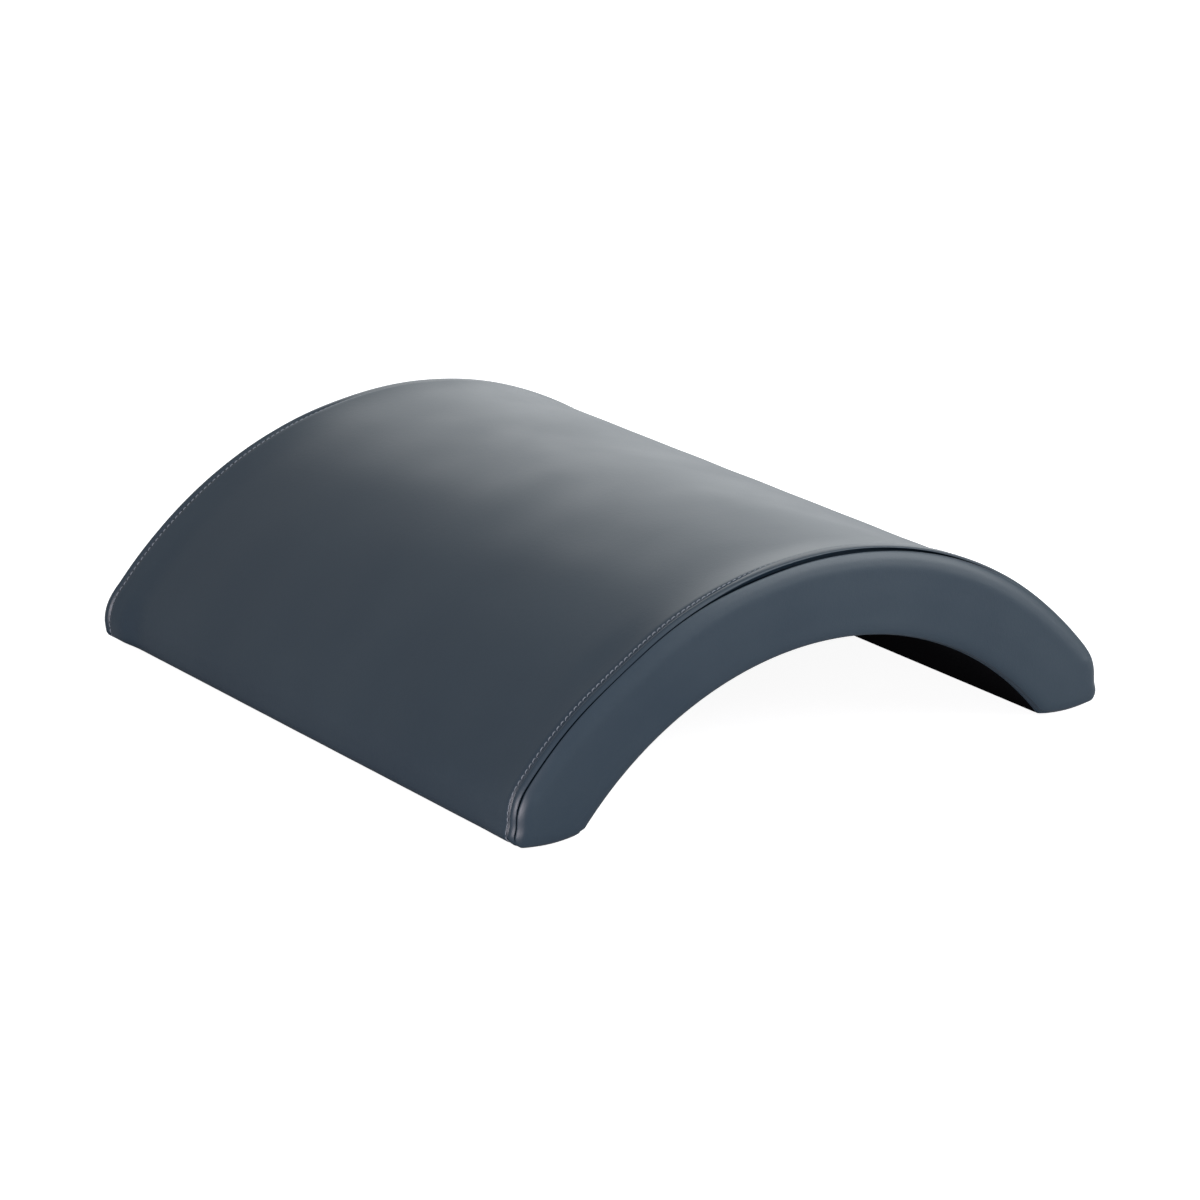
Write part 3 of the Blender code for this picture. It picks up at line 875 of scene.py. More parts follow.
@dataclass(frozen=True)
class PanelSettling:
    """Cloth simulation of the top panel, which sinks into the foam between its sewn edges."""

    section: ArchSection
    half_width: float
    spacing: float = 0.010
    frames: int = 20
    quality: int = 6
    mass: float = 0.5
    shrink: float = 0.012
    press: float = 0.6
    stiffness: float = 20.0
    bending: float = 2.0
    foam_limit: float = 0.0024

    def sheet(self) -> tuple[Array, Array]:
        """Lays out the sheet's points.

        Returns:
            Distances along the arch, right to left, and across it, front to rear.
        """
        reach = self.section.distance_to(3)
        rows = 2 * round(reach / self.spacing) + 1
        columns = 2 * round(self.half_width / self.spacing) + 1
        along = np.linspace(reach, -reach, rows)
        return along, np.linspace(-self.half_width, self.half_width, columns)

    def settle(self) -> tuple[Array, Array, Array]:
        """Runs the simulation.

        Returns:
            The sheet's distances along and across, and how far each point sinks.
        """
        along, y = self.sheet()
        shape = (len(along), len(y))
        places = self.section.places_at(along)[:, None] + np.zeros(len(y))
        x, z, out_x, out_z = self.section.outer_line(places, np.zeros(shape), np.zeros(shape))
        start = np.stack([x, np.broadcast_to(y, shape), z], axis=-1)
        piece = mesh_from_grid("settling_panel", start)
        edge = np.zeros(shape, dtype=bool)
        edge[[0, -1], :] = True
        edge[:, [0, -1]] = True
        held = piece.vertex_groups.new(name="sewn_edges")
        held.add(np.flatnonzero(edge.ravel()).tolist(), 1.0, "REPLACE")
        self._add_cloth(piece, held.name)
        for step in range(1, self.frames + 1):
            bpy.context.scene.frame_set(step)
        apply_modifiers(piece)
        bpy.context.scene.frame_set(1)
        ended = np.empty(start.size)
        piece.data.vertices.foreach_get("co", ended)
        moved = start - ended.reshape(start.shape)
        bpy.data.objects.remove(piece)
        sunk = moved[..., 0] * out_x + moved[..., 2] * out_z
        deepest = MM_PER_M * float(sunk.max())
        LOG.info("top panel sank by up to %.1f mm before the foam's limit", deepest)
        return along, y, self.foam_limit * np.tanh(np.maximum(sunk, 0.0) / self.foam_limit)

    def _add_cloth(self, piece: Object, held: str) -> None:
        """Makes the sheet a slightly shrunken cloth that is pressed inwards.

        Args:
            piece: The sheet.
            held: The name of its group of held points.
        """
        cloth = piece.modifiers.new("vinyl", "CLOTH")
        settings = cloth.settings
        settings.quality = self.quality
        settings.mass = self.mass
        settings.tension_stiffness = self.stiffness
        settings.compression_stiffness = self.stiffness
        settings.bending_stiffness = self.bending
        settings.shrink_min = self.shrink
        settings.use_pressure = True
        settings.uniform_pressure_force = -self.press
        settings.vertex_group_mass = held
        settings.effector_weights.gravity = 0.0
        cloth.collision_settings.use_collision = False
        cloth.point_cache.frame_start = 1
        cloth.point_cache.frame_end = self.frames


@dataclass(frozen=True)
class TopCover:
    """The vinyl panel over the arch, from the hem under one foot to the hem under the other."""

    section: ArchSection
    row_pitch: float = 0.0025
    column_width: float = 0.0075
    half_length: float = 0.4125
    wall: float = 0.0012
    fill: float = 0.9
    stitch_y: float = 0.2848
    hole_y: float = 0.2853
    hole_spread: float = 0.0011
    hole_depth: float = 0.0007
    level_hole_loss: float = 0.9
    under_share: float = 0.5
    edge_ramp: Ramp = Ramp(0.245, 0.2848)
    flare_ramp: Ramp = Ramp(0.250, 0.268)
    droop_ramp: Ramp = Ramp(0.254, 0.290)
    unevenness: float = 0.0002
    hills: Hills = Hills(wavelength=0.09, seed=3)
    fold: Table = (
        (0.2780, 0.0), (0.2815, 0.0), (0.2838, 0.0004), (0.2848, 0.0011), (0.2857, 0.0021),
        (0.2865, 0.0022), (0.2874, 0.0011), (0.2886, 0.0001), (0.2900, -0.0002), (0.2914, 0.0003),
        (0.2927, 0.0013), (0.2934, 0.0021), (0.2930, 0.0027), (0.2912, 0.0029), (0.2895, 0.0031),
        (0.2886, 0.0040), (0.2882, 0.0057),
    )
    level_fold: Table = (
        (0.2780, 0.0), (0.2815, 0.0), (0.2838, 0.0), (0.2848, 0.0001), (0.2857, 0.0001),
        (0.2865, 0.0001), (0.2875, 0.0001), (0.2888, 0.0001), (0.2903, 0.0002), (0.2917, 0.0004),
        (0.2927, 0.0008), (0.2931, 0.0013), (0.2927, 0.0018), (0.2912, 0.0020), (0.2895, 0.0024),
        (0.2886, 0.0042), (0.2882, 0.0077),
    )
    fold_columns: int = 34

    @cached_property
    def along(self) -> Array:
        """Each row's distance from the top, from the right hem to the left."""
        count = round(self.half_length / self.row_pitch)
        return np.linspace(self.half_length, -self.half_length, 2 * count + 1)

    def columns(self, table: Table) -> Array:
        """Lays out the columns from the front to the rear.

        Args:
            table: The y and inset of points through the rear fold, from its start inward.

        Returns:
            Each column's y and inset.
        """
        edge = through_points(table, self.fold_columns)
        half = edge[0, 0]
        count = round(2.0 * half / self.column_width)
        middle = np.column_stack([np.linspace(-half, half, count + 1), np.zeros(count + 1)])[1:-1]
        front = edge[::-1] * (-1.0, 1.0)
        return np.vstack([front, middle, edge])

    @cached_property
    def settled(self) -> tuple[Array, Array, Array]:
        """The simulated sheet's distances and how far each of its points sank."""
        return PanelSettling(self.section, self.stitch_y).settle()

    def sunk(self, along: Array, y: Array) -> Array:
        """How far the panel sank, read between the simulated sheet's points.

        Args:
            along: Distances along the arch.
            y: Distances across it.

        Returns:
            How far each point sank.
        """
        rows, columns, depths = self.settled
        row = np.interp(along, rows[::-1], np.arange(len(rows))[::-1])
        column = np.interp(y, columns, np.arange(len(columns)))
        top = np.minimum(row.astype(int), len(rows) - 2)
        left = np.minimum(column.astype(int), len(columns) - 2)
        down, right = row - top, column - left
        upper = depths[top, left] * (1 - right) + depths[top, left + 1] * right
        lower = depths[top + 1, left] * (1 - right) + depths[top + 1, left + 1] * right
        return upper * (1 - down) + lower * down

    def depth(self, along: Array, y: Array, inset: Array) -> Array:
        """Adds to an inset what the simulation and the hand-pulled edges do to the surface.

        Args:
            along: Distances along the arch.
            y: Distances across it.
            inset: How far each point already lies inside the section.

        Returns:
            How far each point lies inside the section in all.
        """
        places = self.section.places_at(along)
        size = np.abs(y)
        near_end = self.edge_ramp.at(size)
        at_corner = self.flare_ramp.at(size)
        droop = self.droop_ramp.at(size)
        front, rear = (
            fit.inset(places) * near_end - fit.flare(places) * at_corner + fit.crest(places) * droop
            for fit in (EDGE_FITS[End.FRONT], EDGE_FITS[End.REAR]))
        uneven = self.unevenness * self.hills.heights(along, y)
        return inset + self.sunk(along, y) + np.where(y < 0, front, rear) + uneven

    def surface(self) -> Array:
        """Finds the points of the cover's outer surface.

        Returns:
            The points in rows and columns, with x, y and z last.
        """
        folded, level = self.columns(self.fold), self.columns(self.level_fold)
        places = self.section.places_at(self.along)
        levels = [EDGE_FITS[end].level(places)[:, None] for end in (End.FRONT, End.REAR)]
        share = np.where(folded[:, 0] < 0, *levels)
        y = folded[:, 0] + (level - folded)[:, 0] * share
        inset = folded[:, 1] + (level - folded)[:, 1] * share
        along = np.broadcast_to(self.along[:, None], y.shape)
        holes = np.exp(-((np.abs(y) - self.hole_y) / self.hole_spread) ** 2)
        holes = holes * (1.0 - self.level_hole_loss * share)
        odd = np.arange(len(self.along)) % 2
        depth = self.depth(along, y, inset) + self.hole_depth * holes * odd[:, None]
        x, z, _, _ = self.section.outer_line(
            self.section.places_at(along), depth, np.clip(inset, 0.0, None) * self.under_share)
        return np.stack([x, y, z], axis=-1)

    def build(self, shelf: FinishShelf) -> None:
        """Makes the cover.

        Args:
            shelf: The finishes.
        """
        piece = mesh_from_grid("top_vinyl_panel", self.surface())
        add_wall(piece, self.wall)
        settle(piece, Slot.VINYL, shelf.vinyl, "top_cover")


@dataclass(frozen=True)
class EndCover:
    """A padded vinyl panel on one end of the arch, sewn into the top cover's edge.

    Its edges are tables of y and inset through the rolled edge, from the hidden hem to the face.
    """

    section: ArchSection
    end: End
    outer_points: int = 240
    outer_gap: float = 0.000001
    bottom_points: int = 18
    spine_margin: float = 0.065
    face_levels: int = 9
    edge_levels: int = 34
    wall: float = 0.0012
    fill: float = 0.8
    crown: float = 0.0002
    crown_ramp: Ramp = Ramp(0.0, 1.0)
    sole_ramp: Ramp = Ramp(0.2840, 0.2960)
    lip_ramp: Ramp = Ramp(0.2932, 0.2944)
    foot_ramp: Ramp = Ramp(0.8, 1.4)
    roll_ramp: Ramp = Ramp(3.0, 4.0)
    roll_under_share: float = 0.5
    bead_ramp: Ramp = Ramp(0.9, 1.0)
    outer_edge: Table = (
        (0.2870, 0.0062), (0.2905, 0.0058), (0.2930, 0.0046), (0.2940, 0.0034), (0.2947, 0.0028),
        (0.2955, 0.0034), (0.2966, 0.0049), (0.2977, 0.0070), (0.2986, 0.0094), (0.2993, 0.0122),
        (0.2998, 0.0150), (0.3000, 0.0178),
    )
    foot_edge: Table = (
        (0.2870, 0.0062), (0.2905, 0.0058), (0.2930, 0.0047), (0.2940, 0.0036), (0.2947, 0.0030),
        (0.2955, 0.0031), (0.2964, 0.0039), (0.2976, 0.0054), (0.2986, 0.0070), (0.2993, 0.0088),
        (0.2998, 0.0114), (0.3000, 0.0150),
    )
    level_edge: Table = (
        (0.2870, 0.0080), (0.2905, 0.0077), (0.2930, 0.0066), (0.2942, 0.0051), (0.2949, 0.0042),
        (0.2957, 0.0039), (0.2966, 0.0046), (0.2976, 0.0063), (0.2986, 0.0088), (0.2993, 0.0119),
        (0.2998, 0.0150), (0.3000, 0.0178),
    )
    bottom_edge: Table = (
        (0.2800, 0.0002), (0.2840, 0.0001), (0.2880, 0.0), (0.2920, 0.0), (0.2950, 0.0),
        (0.2968, 0.0004), (0.2982, 0.0014), (0.2991, 0.0028), (0.2996, 0.0050), (0.2999, 0.0080),
        (0.3000, 0.0120),
    )
    inner_edge: Table = (
        (0.2800, 0.0012), (0.2875, 0.0012), (0.2890, 0.0008), (0.2903, 0.0), (0.2926, -0.0004),
        (0.2946, 0.0004), (0.2955, 0.0013), (0.2959, 0.0034), (0.2968, 0.0038), (0.2976, 0.0009),
        (0.2988, 0.0022), (0.2997, 0.0058), (0.3000, 0.0112),
    )

    def shares(self) -> tuple[Array, Array, Array]:
        """Spreads the closed outline's points.

        Returns:
            Places on the outer line, shares of the bottom and shares of the inner line.
        """
        reach = self.section.distance_to(4) - self.outer_gap
        outer = self.section.places_at(np.linspace(-reach, reach, self.outer_points))
        bottom = np.linspace(0.0, 1.0, self.bottom_points + 2)[1:-1]
        return outer, bottom, np.linspace(0.0, 1.0, self.outer_points)

    def ring(self, level: int) -> tuple[Array, Array]:
        """One closed ring of the edge.

        Args:
            level: Its number, counted from the hidden hem.

        Returns:
            Its points' x and z, and their y.
        """
        outer, bottom, inner = self.shares()
        tables = (self.outer_edge, self.level_edge, self.foot_edge, self.bottom_edge, self.inner_edge)
        levels = [through_points(table, self.edge_levels)[level] for table in tables]
        folded, flat, footed, (bottom_y, under), (inner_y, inside) = levels
        fit = EDGE_FITS[self.end]
        edge = folded[:, None] + (flat - folded)[:, None] * fit.level(outer)
        outer_y, side = edge + (footed[:, None] - edge) * self.foot_ramp.at(np.abs(outer))
        roll = self.roll_ramp.at(np.abs(outer))
        side_inset = side + (under - side) * roll * self.roll_under_share
        side_inset += fit.inset(outer) - fit.flare(outer) + fit.crest(outer)
        side_inset -= fit.closing(outer) * self.lip_ramp.at(outer_y)
        x, z, _, _ = self.section.outer_line(outer, side_inset, np.full(outer.shape, under))
        y = outer_y + (bottom_y - outer_y) * roll
        height = self.section.foot_z + under
        in_x, in_z = self.section.inner_line(inner, np.full(inner.shape, inside), height)
        low_x = x[-1] + (in_x[0] - x[-1]) * bottom
        low_y = bottom_y + (inner_y - bottom_y) * self.bead_ramp.at(bottom)
        sole = height - fit.foot_sag * self.sole_ramp.at(bottom_y) * np.sin(math.pi * bottom)
        line = np.column_stack([
            np.concatenate([x, low_x, in_x, -low_x[::-1]]),
            np.concatenate([z, sole, in_z, sole[::-1]]),
        ])
        return line, np.concatenate([y, low_y, np.full(inner.shape, inner_y), low_y[::-1]])

    def spine(self, ring: Array) -> Array:
        """Finds where the face's lines meet in the middle of the band.

        Args:
            ring: The x and z of the ring around the face.

        Returns:
            For each point of the ring, the point that it leads to.
        """
        count = self.outer_points
        outer = ring[:count]
        inner = ring[count + self.bottom_points:][:count][::-1]
        middle = 0.5 * (outer + inner)
        shares = np.linspace(0.0, 1.0, count)
        asked = self.spine_margin + (1.0 - 2.0 * self.spine_margin) * shares
        line = np.column_stack([np.interp(asked, shares, middle[:, axis]) for axis in (0, 1)])
        right = np.repeat(line[-1:], self.bottom_points, axis=0)
        left = np.repeat(line[:1], self.bottom_points, axis=0)
        return np.vstack([line, right, line[::-1], left])

    def grid(self) -> Array:
        """Finds all the panel's points.

        Returns:
            The points in rings, from the hidden hem to the middle of the face.
        """
        rows = []
        for level in range(self.edge_levels):
            line, y = self.ring(level)
            rows.append(np.column_stack([line[:, 0], y, line[:, 1]]))
        spine = self.spine(line)
        for step in range(1, self.face_levels + 1):
            share = step / self.face_levels
            flat = line + (spine - line) * share
            height = y + self.crown * self.crown_ramp.at(share)
            rows.append(np.column_stack([flat[:, 0], height, flat[:, 1]]))
        points = np.stack(rows)
        points[..., 1] *= self.end.value
        return points if self.end is End.REAR else points[:, ::-1]

    def build(self, shelf: FinishShelf) -> None:
        """Makes the panel.

        Args:
            shelf: The finishes.
        """
        piece = mesh_from_grid(f"{self.end.word}_vinyl_panel", self.grid(), round_columns=True)
        weld(piece)
        add_wall(piece, self.wall)
        settle(piece, Slot.VINYL, shelf.vinyl, f"{self.end.word}_end_cover")


@dataclass(frozen=True)
class TopStitching:
    """One row of separate stitches beside an end's seam."""

    cover: TopCover
    end: End
    pitch: float = 0.005
    half_count: int = 71
    length: float = 0.0046
    radius: float = 0.00048
    taper: float = 0.45
    rise: float = 0.0005
    level_rise: float = 0.0
    seat: float = 0.0010
    level_seat: float = 0.0005
    dip: float = 0.0016
    sides: int = 6
    rings: int = 7
    slant: float = 0.10
    slant_spread: float = 0.03
    seed: int = 20

    def stitch(self, number: int, draw: np.random.Generator) -> Array:
        """Lays one stitch.

        Args:
            number: Its number, counted from the top of the arch.
            draw: Where its slant is drawn from.

        Returns:
            Its points, ring by ring.
        """
        section = self.cover.section
        steps = np.linspace(-1.0, 1.0, self.rings)
        along = number * self.pitch + steps * self.length / 2
        share = float(EDGE_FITS[self.end].level(section.places_at(along[self.rings // 2])))
        rise = self.rise + (self.level_rise - self.rise) * share
        seat = self.seat + (self.level_seat - self.seat) * share
        inset = seat - rise + self.dip * steps ** 4
        slant = self.slant + draw.normal(0.0, self.slant_spread)
        y = self.end.value * self.cover.stitch_y + steps * self.length / 2 * slant
        depth = self.cover.depth(along, y, inset)
        places = section.places_at(along)
        x, z, out_x, out_z = section.outer_line(places, depth, np.zeros(steps.shape))
        radii = self.radius * (1.0 - self.taper * steps ** 4)
        turns = np.linspace(0.0, math.tau, self.sides, endpoint=False)
        lift = radii[:, None] * np.cos(turns)
        slide = radii[:, None] * np.sin(turns)
        return np.stack([
            x[:, None] + out_x[:, None] * lift,
            y[:, None] + slide,
            z[:, None] + out_z[:, None] * lift,
        ], axis=-1)

    def faces(self, start: int) -> list[tuple[int, ...]]:
        """Closes one stitch's tube.

        Args:
            start: The number of its first point.

        Returns:
            Its faces, each by the numbers of its corners.
        """
        faces = []
        last = start + (self.rings - 1) * self.sides
        for base in range(start, last, self.sides):
            for side in range(self.sides):
                beside = (side + 1) % self.sides
                above = base + self.sides
                faces.append((base + side, above + side, above + beside, base + beside))
        faces.append(tuple(range(start, start + self.sides)))
        faces.append(tuple(range(last + self.sides - 1, last - 1, -1)))
        return faces

    def build(self, shelf: FinishShelf) -> None:
        """Makes the row as one piece of separate closed stitches.

        Args:
            shelf: The finishes.
        """
        draw = np.random.default_rng(self.seed + self.end.value)
        points, faces = [], []
        for number in range(-self.half_count, self.half_count + 1):
            faces.extend(self.faces(len(points)))
            points.extend(self.stitch(number, draw).reshape(-1, 3).tolist())
        mesh = bpy.data.meshes.new(f"{self.end.word}_stitches")
        mesh.from_pydata(points, [], faces)
        piece = add_piece(mesh.name, mesh)
        settle(piece, Slot.THREAD, shelf.thread, f"{self.end.word}_topstitch_thread")


@dataclass(frozen=True)
class UndersideLining:
    """The black cloth stretched over the arch's underside, from foot to foot, coloured darker than the
    cloth's own black as painted shade for the deep shade under the arch.
    """

    section: ArchSection
    half_length: float = 0.2905
    turn: float = 0.009
    drop: float = 0.0004
    sole_gap: float = 0.0001
    sag: float = 0.0015
    even_sag: float = 0.6
    free_ramp: Ramp = Ramp(0.0, 0.02)
    end_ramp: Ramp = Ramp(0.0, 0.05)
    hills: Hills = Hills(wavelength=0.12, seed=9)
    wall: float = 0.0006
    columns: int = 118
    turn_rows: int = 7
    arc_rows: int = 170

    @property
    def level(self) -> float:
        """The height of its turned edges under the feet."""
        return self.section.foot_z - self.sole_gap

    @property
    def flat_width(self) -> float:
        """Its width laid flat: the opening's arc and both turned edges."""
        reach = math.acos((self.level - self.section.inner_centre_z) / self.section.inner_radius)
        return 2.0 * (self.section.inner_radius * reach + self.turn)

    def grid(self) -> Array:
        """Finds the points of the lining's lower surface.

        Returns:
            The points in rows and columns, with x, y and z last.
        """
        y = np.linspace(self.half_length, -self.half_length, self.columns)
        shares = np.linspace(0.0, 1.0, self.arc_rows)
        arc_x, arc_z = self.section.inner_line(shares, -self.drop, self.level)
        turned = arc_x[0] + self.turn * np.linspace(1.0, 0.0, self.turn_rows, endpoint=False)
        flat = np.full(self.turn_rows, self.level)
        x = np.concatenate([turned, arc_x, -turned[::-1]])
        z = np.concatenate([flat, arc_z, flat])
        free = self.free_ramp.at(z - self.level)[:, None]
        free = free * self.end_ramp.at(self.half_length - np.abs(y))
        hills = self.hills.heights(x[:, None], y[None, :])
        sag = self.sag * (self.even_sag + (1.0 - self.even_sag) * hills) * free
        inward = np.stack([x, z - self.section.inner_centre_z], axis=-1)
        inward /= np.linalg.norm(inward, axis=-1, keepdims=True)
        grid_x = x[:, None] - inward[:, :1] * sag
        grid_z = z[:, None] - inward[:, 1:] * sag
        return np.stack([grid_x, np.broadcast_to(y, grid_x.shape), grid_z], axis=-1)

    def build(self, shelf: FinishShelf) -> None:
        """Makes the lining.

        Args:
            shelf: The finishes.
        """
        # The lining's material is black cloth darkened further, painted shade for the shade under the
        # arch.
        piece = mesh_from_grid("black_lining", self.grid())
        add_wall(piece, self.wall)
        flat = (2.0 * self.half_length, self.flat_width)
        settle(piece, Slot.LINING, shelf.lining, "underside_lining")


@dataclass(frozen=True)
class FoamPad:
    """A foam pad, made from a copy of its node and pressed in a little by the covers."""

    node: str
    voxel: float = 0.006
    squeeze: float = 0.0035
    relax_share: float = 0.5
    relax_steps: int = 3
    fill: float = 1.0

    def build(self, shelf: FinishShelf) -> None:
        """Makes the pad.

        Args:
            shelf: The finishes.
        """
        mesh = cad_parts[self.node].data.copy()
        mesh.name = self.node + "_foam"
        piece = add_piece(mesh.name, mesh)
        weld(piece)
        remesh = piece.modifiers.new("cells", "REMESH")
        remesh.mode = "VOXEL"
        remesh.voxel_size = self.voxel
        relax = piece.modifiers.new("relax", "SMOOTH")
        relax.factor = self.relax_share
        relax.iterations = self.relax_steps
        pressed = piece.modifiers.new("pressed", "DISPLACE")
        pressed.mid_level = 0.0
        pressed.strength = -self.squeeze
        apply_modifiers(piece)
        piece.data.shade_smooth()
        settle(piece, Slot.FOAM, shelf.foam, self.node)


@dataclass(frozen=True)
class TurnedPiece:
    """A piece that is modelled by hand from a cylinder, upright where its node stands."""

    LEVEL_FACE = 0.9

    node: str
    ending: str = "turned"
    sides: int = 48
    rounding: float = 0.00025
    rounding_steps: int = 3
    sharp_angle: float = 0.6

    def add_cylinder(self, radius: float, depth: float, place: Vector) -> Object:
        """Adds an upright cylinder with its mesh in place and its object at the origin.

        Args:
            radius: Its radius.
            depth: Its height.
            place: Its middle.

        Returns:
            The cylinder, named after the node.
        """
        bpy.ops.mesh.primitive_cylinder_add(
            vertices=self.sides, radius=radius, depth=depth, location=place)
        piece = bpy.context.active_object
        piece.name = f"{self.node}_{self.ending}"
        select_only(piece)
        bpy.ops.object.transform_apply(location=True, rotation=False, scale=False)
        return piece

    def edit_level_faces(self, piece: Object, way: int) -> None:
        """Opens the piece in edit mode with only its level faces of one side selected.

        Args:
            piece: The piece to open.
            way: 1 for the faces that look up, -1 for those that look down.
        """
        select_only(piece)
        bpy.ops.object.mode_set(mode="EDIT")
        bpy.ops.mesh.select_mode(type="FACE")
        bpy.ops.mesh.select_all(action="DESELECT")
        mesh = bmesh.from_edit_mesh(piece.data)
        for face in mesh.faces:
            face.select_set(face.normal.z * way > self.LEVEL_FACE)
        bmesh.update_edit_mesh(piece.data)

    def round_edges(self, piece: Object) -> None:
        """Rounds the piece's sharp edges and shades the rest smooth.

        Args:
            piece: The piece to round.
        """
        bevel = piece.modifiers.new("rounding", "BEVEL")
        bevel.width = self.rounding
        bevel.segments = self.rounding_steps
        bevel.limit_method = "ANGLE"
        bevel.angle_limit = self.sharp_angle
        apply_modifiers(piece)
        select_only(piece)
        bpy.ops.object.shade_smooth_by_angle(angle=self.sharp_angle)


@dataclass(frozen=True)
class Glide(TurnedPiece):
    """A round rubber glide with a cup for its screw's head."""

    ending: str = "round"
    cup_radius: float = 0.0038
    cup_depth: float = 0.0024
    hole_radius: float = 0.0020

    def model(self) -> Object:
        """Models the glide.

        Returns:
            The glide, in place.
        """
        low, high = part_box(self.node)
        radius = (high.x - low.x) / 2
        piece = self.add_cylinder(radius, high.z - low.z, (low + high) / 2)
        self.edit_level_faces(piece, -1)
        bpy.ops.mesh.inset(thickness=radius - self.cup_radius)
        bpy.ops.mesh.extrude_region_move(TRANSFORM_OT_translate={"value": (0.0, 0.0, self.cup_depth)})
        bpy.ops.mesh.inset(thickness=self.cup_radius - self.hole_radius)
        bpy.ops.mesh.delete(type="FACE")
        bpy.ops.object.mode_set(mode="OBJECT")
        self.edit_level_faces(piece, 1)
        bpy.ops.mesh.inset(thickness=radius - self.hole_radius)
        bpy.ops.mesh.delete(type="FACE")
        bpy.ops.mesh.select_mode(type="EDGE")
        bpy.ops.mesh.select_non_manifold()
        bpy.ops.mesh.bridge_edge_loops()
        bpy.ops.object.mode_set(mode="OBJECT")
        self.round_edges(piece)
        return piece


@dataclass(frozen=True)
class GlideScrew(TurnedPiece):
    """A countersunk screw with a cross recess, its head facing down in a glide's cup."""

    sides: int = 32
    rounding: float = 0.00012
    rim: float = 0.0004
    head_height: float = 0.0018
    shank_share: float = 0.51
    tip: float = 0.003
    tip_share: float = 0.3
    slot_width: float = 0.0010
    slot_length: float = 0.0042
    slot_depth: float = 0.0012

    def _draw_up(self, middle: Vector, height: float, share: float) -> None:
        """Extrudes the selected top face upward and narrows it."""
        bpy.ops.mesh.extrude_region_move(TRANSFORM_OT_translate={"value": (0.0, 0.0, height)})
        bpy.ops.transform.resize(value=(share, share, 1.0), center_override=middle)

    def _cut_slot(self, piece: Object, face: Vector, turn: float) -> None:
        """Cuts one arm of the cross into the head.

        Args:
            piece: The screw.
            face: The middle of the head's face.
            turn: Which way the arm runs, in radians.
        """
        bpy.ops.mesh.primitive_cube_add(size=1.0, location=face, rotation=(0.0, 0.0, turn))
        cutter = bpy.context.active_object
        cutter.scale = (self.slot_length, self.slot_width, 2.0 * self.slot_depth)
        select_only(cutter)
        bpy.ops.object.transform_apply(location=True, rotation=True, scale=True)
        cut = piece.modifiers.new("slot", "BOOLEAN")
        cut.operation = "DIFFERENCE"
        cut.object = cutter
        apply_modifiers(piece)
        bpy.data.objects.remove(cutter)

    def model(self) -> Object:
        """Models the screw.

        Returns:
            The screw, in place.
        """
        low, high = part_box(self.node)
        middle = (low + high) / 2
        face = Vector((middle.x, middle.y, low.z))
        rim_middle = face + Vector((0.0, 0.0, self.rim / 2))
        piece = self.add_cylinder((high.x - low.x) / 2, self.rim, rim_middle)
        self.edit_level_faces(piece, 1)
        self._draw_up(middle, self.head_height - self.rim, self.shank_share)
        self._draw_up(middle, high.z - low.z - self.head_height - self.tip, 1.0)
        self._draw_up(middle, self.tip, self.tip_share)
        bpy.ops.object.mode_set(mode="OBJECT")
        for turn in (0.0, math.pi / 2):
            self._cut_slot(piece, face, turn)
        self.round_edges(piece)
        return piece


@dataclass(frozen=True)
class Fixings:
    """The four glides and their screws, each kind modelled once and copied."""

    corners: tuple[str, ...] = tuple(f"{end.word}_{side.word}" for end in End for side in Side)

    def build(self, shelf: FinishShelf) -> None:
        """Makes every glide and screw."""
        self._spread("glide", Glide, Slot.RUBBER, shelf.rubber)
        self._spread("glide_screw", GlideScrew, Slot.STEEL, shelf.zinc)

    def _spread(
            self, kind: str, maker: type[Glide | GlideScrew], slot: Slot, material: Material) -> None:
        """Models a piece at the first corner and copies it to the others.

        Args:
            kind: The end of the names of the nodes that it stands for.
            maker: The piece's class.
            slot: The record's slot of its finish.
            material: Its material.
        """
        first = f"{self.corners[0]}_{kind}"
        pattern = maker(first).model()
        start = sum(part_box(first), Vector()) / 2
        for corner in self.corners[1:]:
            node = f"{corner}_{kind}"
            move = sum(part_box(node), Vector()) / 2 - start
            mesh = pattern.data.copy()
            mesh.transform(Matrix.Translation(move))
            twin = bpy.data.objects.new(pattern.name.replace(first, node), mesh)
            bpy.context.scene.collection.objects.link(twin)
            settle(twin, slot, material, node)
        settle(pattern, slot, material, first)


class FrameDressing:
    """Gives the frame's own wood and hidden screws their finishes."""

    def __init__(self, shelf: FinishShelf) -> None:
        """Pairs each kind of node with its material.

        Args:
            shelf: The finishes.
        """
        self.by_word = {
            "screw": shelf.zinc, "rail": shelf.pine, "slat": shelf.pine,
            "rib": shelf.plywood, "deck": shelf.plywood,
        }

    def dress(self) -> None:
        """Sets the material of every node that is still shown."""
        for name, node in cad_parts.items():
            word = next((word for word in self.by_word if word in name), None)
            if word is None:
                continue
            node.data.materials.clear()
            node.data.materials.append(self.by_word[word])
            LOG.info("%s: dressed as %s", name, self.by_word[word].name)


@dataclass(frozen=True)
class SoftLight:
    """A soft light that faces the object: where its middle hangs, its size and its power."""

    name: str
    place: tuple[float, float, float]
    size: tuple[float, float]
    watts: float
    colour: tuple[float, float, float] = (0.95, 0.99, 1.0)

    def hang(self) -> None:
        """Hangs the light."""
        data = bpy.data.lights.new(self.name, "AREA")
        data.shape = "RECTANGLE"
        data.size, data.size_y = self.size
        data.energy = self.watts
        data.color = self.colour
        light = bpy.data.objects.new(self.name, data)
        light.location = self.place
        light.rotation_euler = Vector(self.place).to_track_quat("Z", "Y").to_euler()
        bpy.context.scene.collection.objects.link(light)


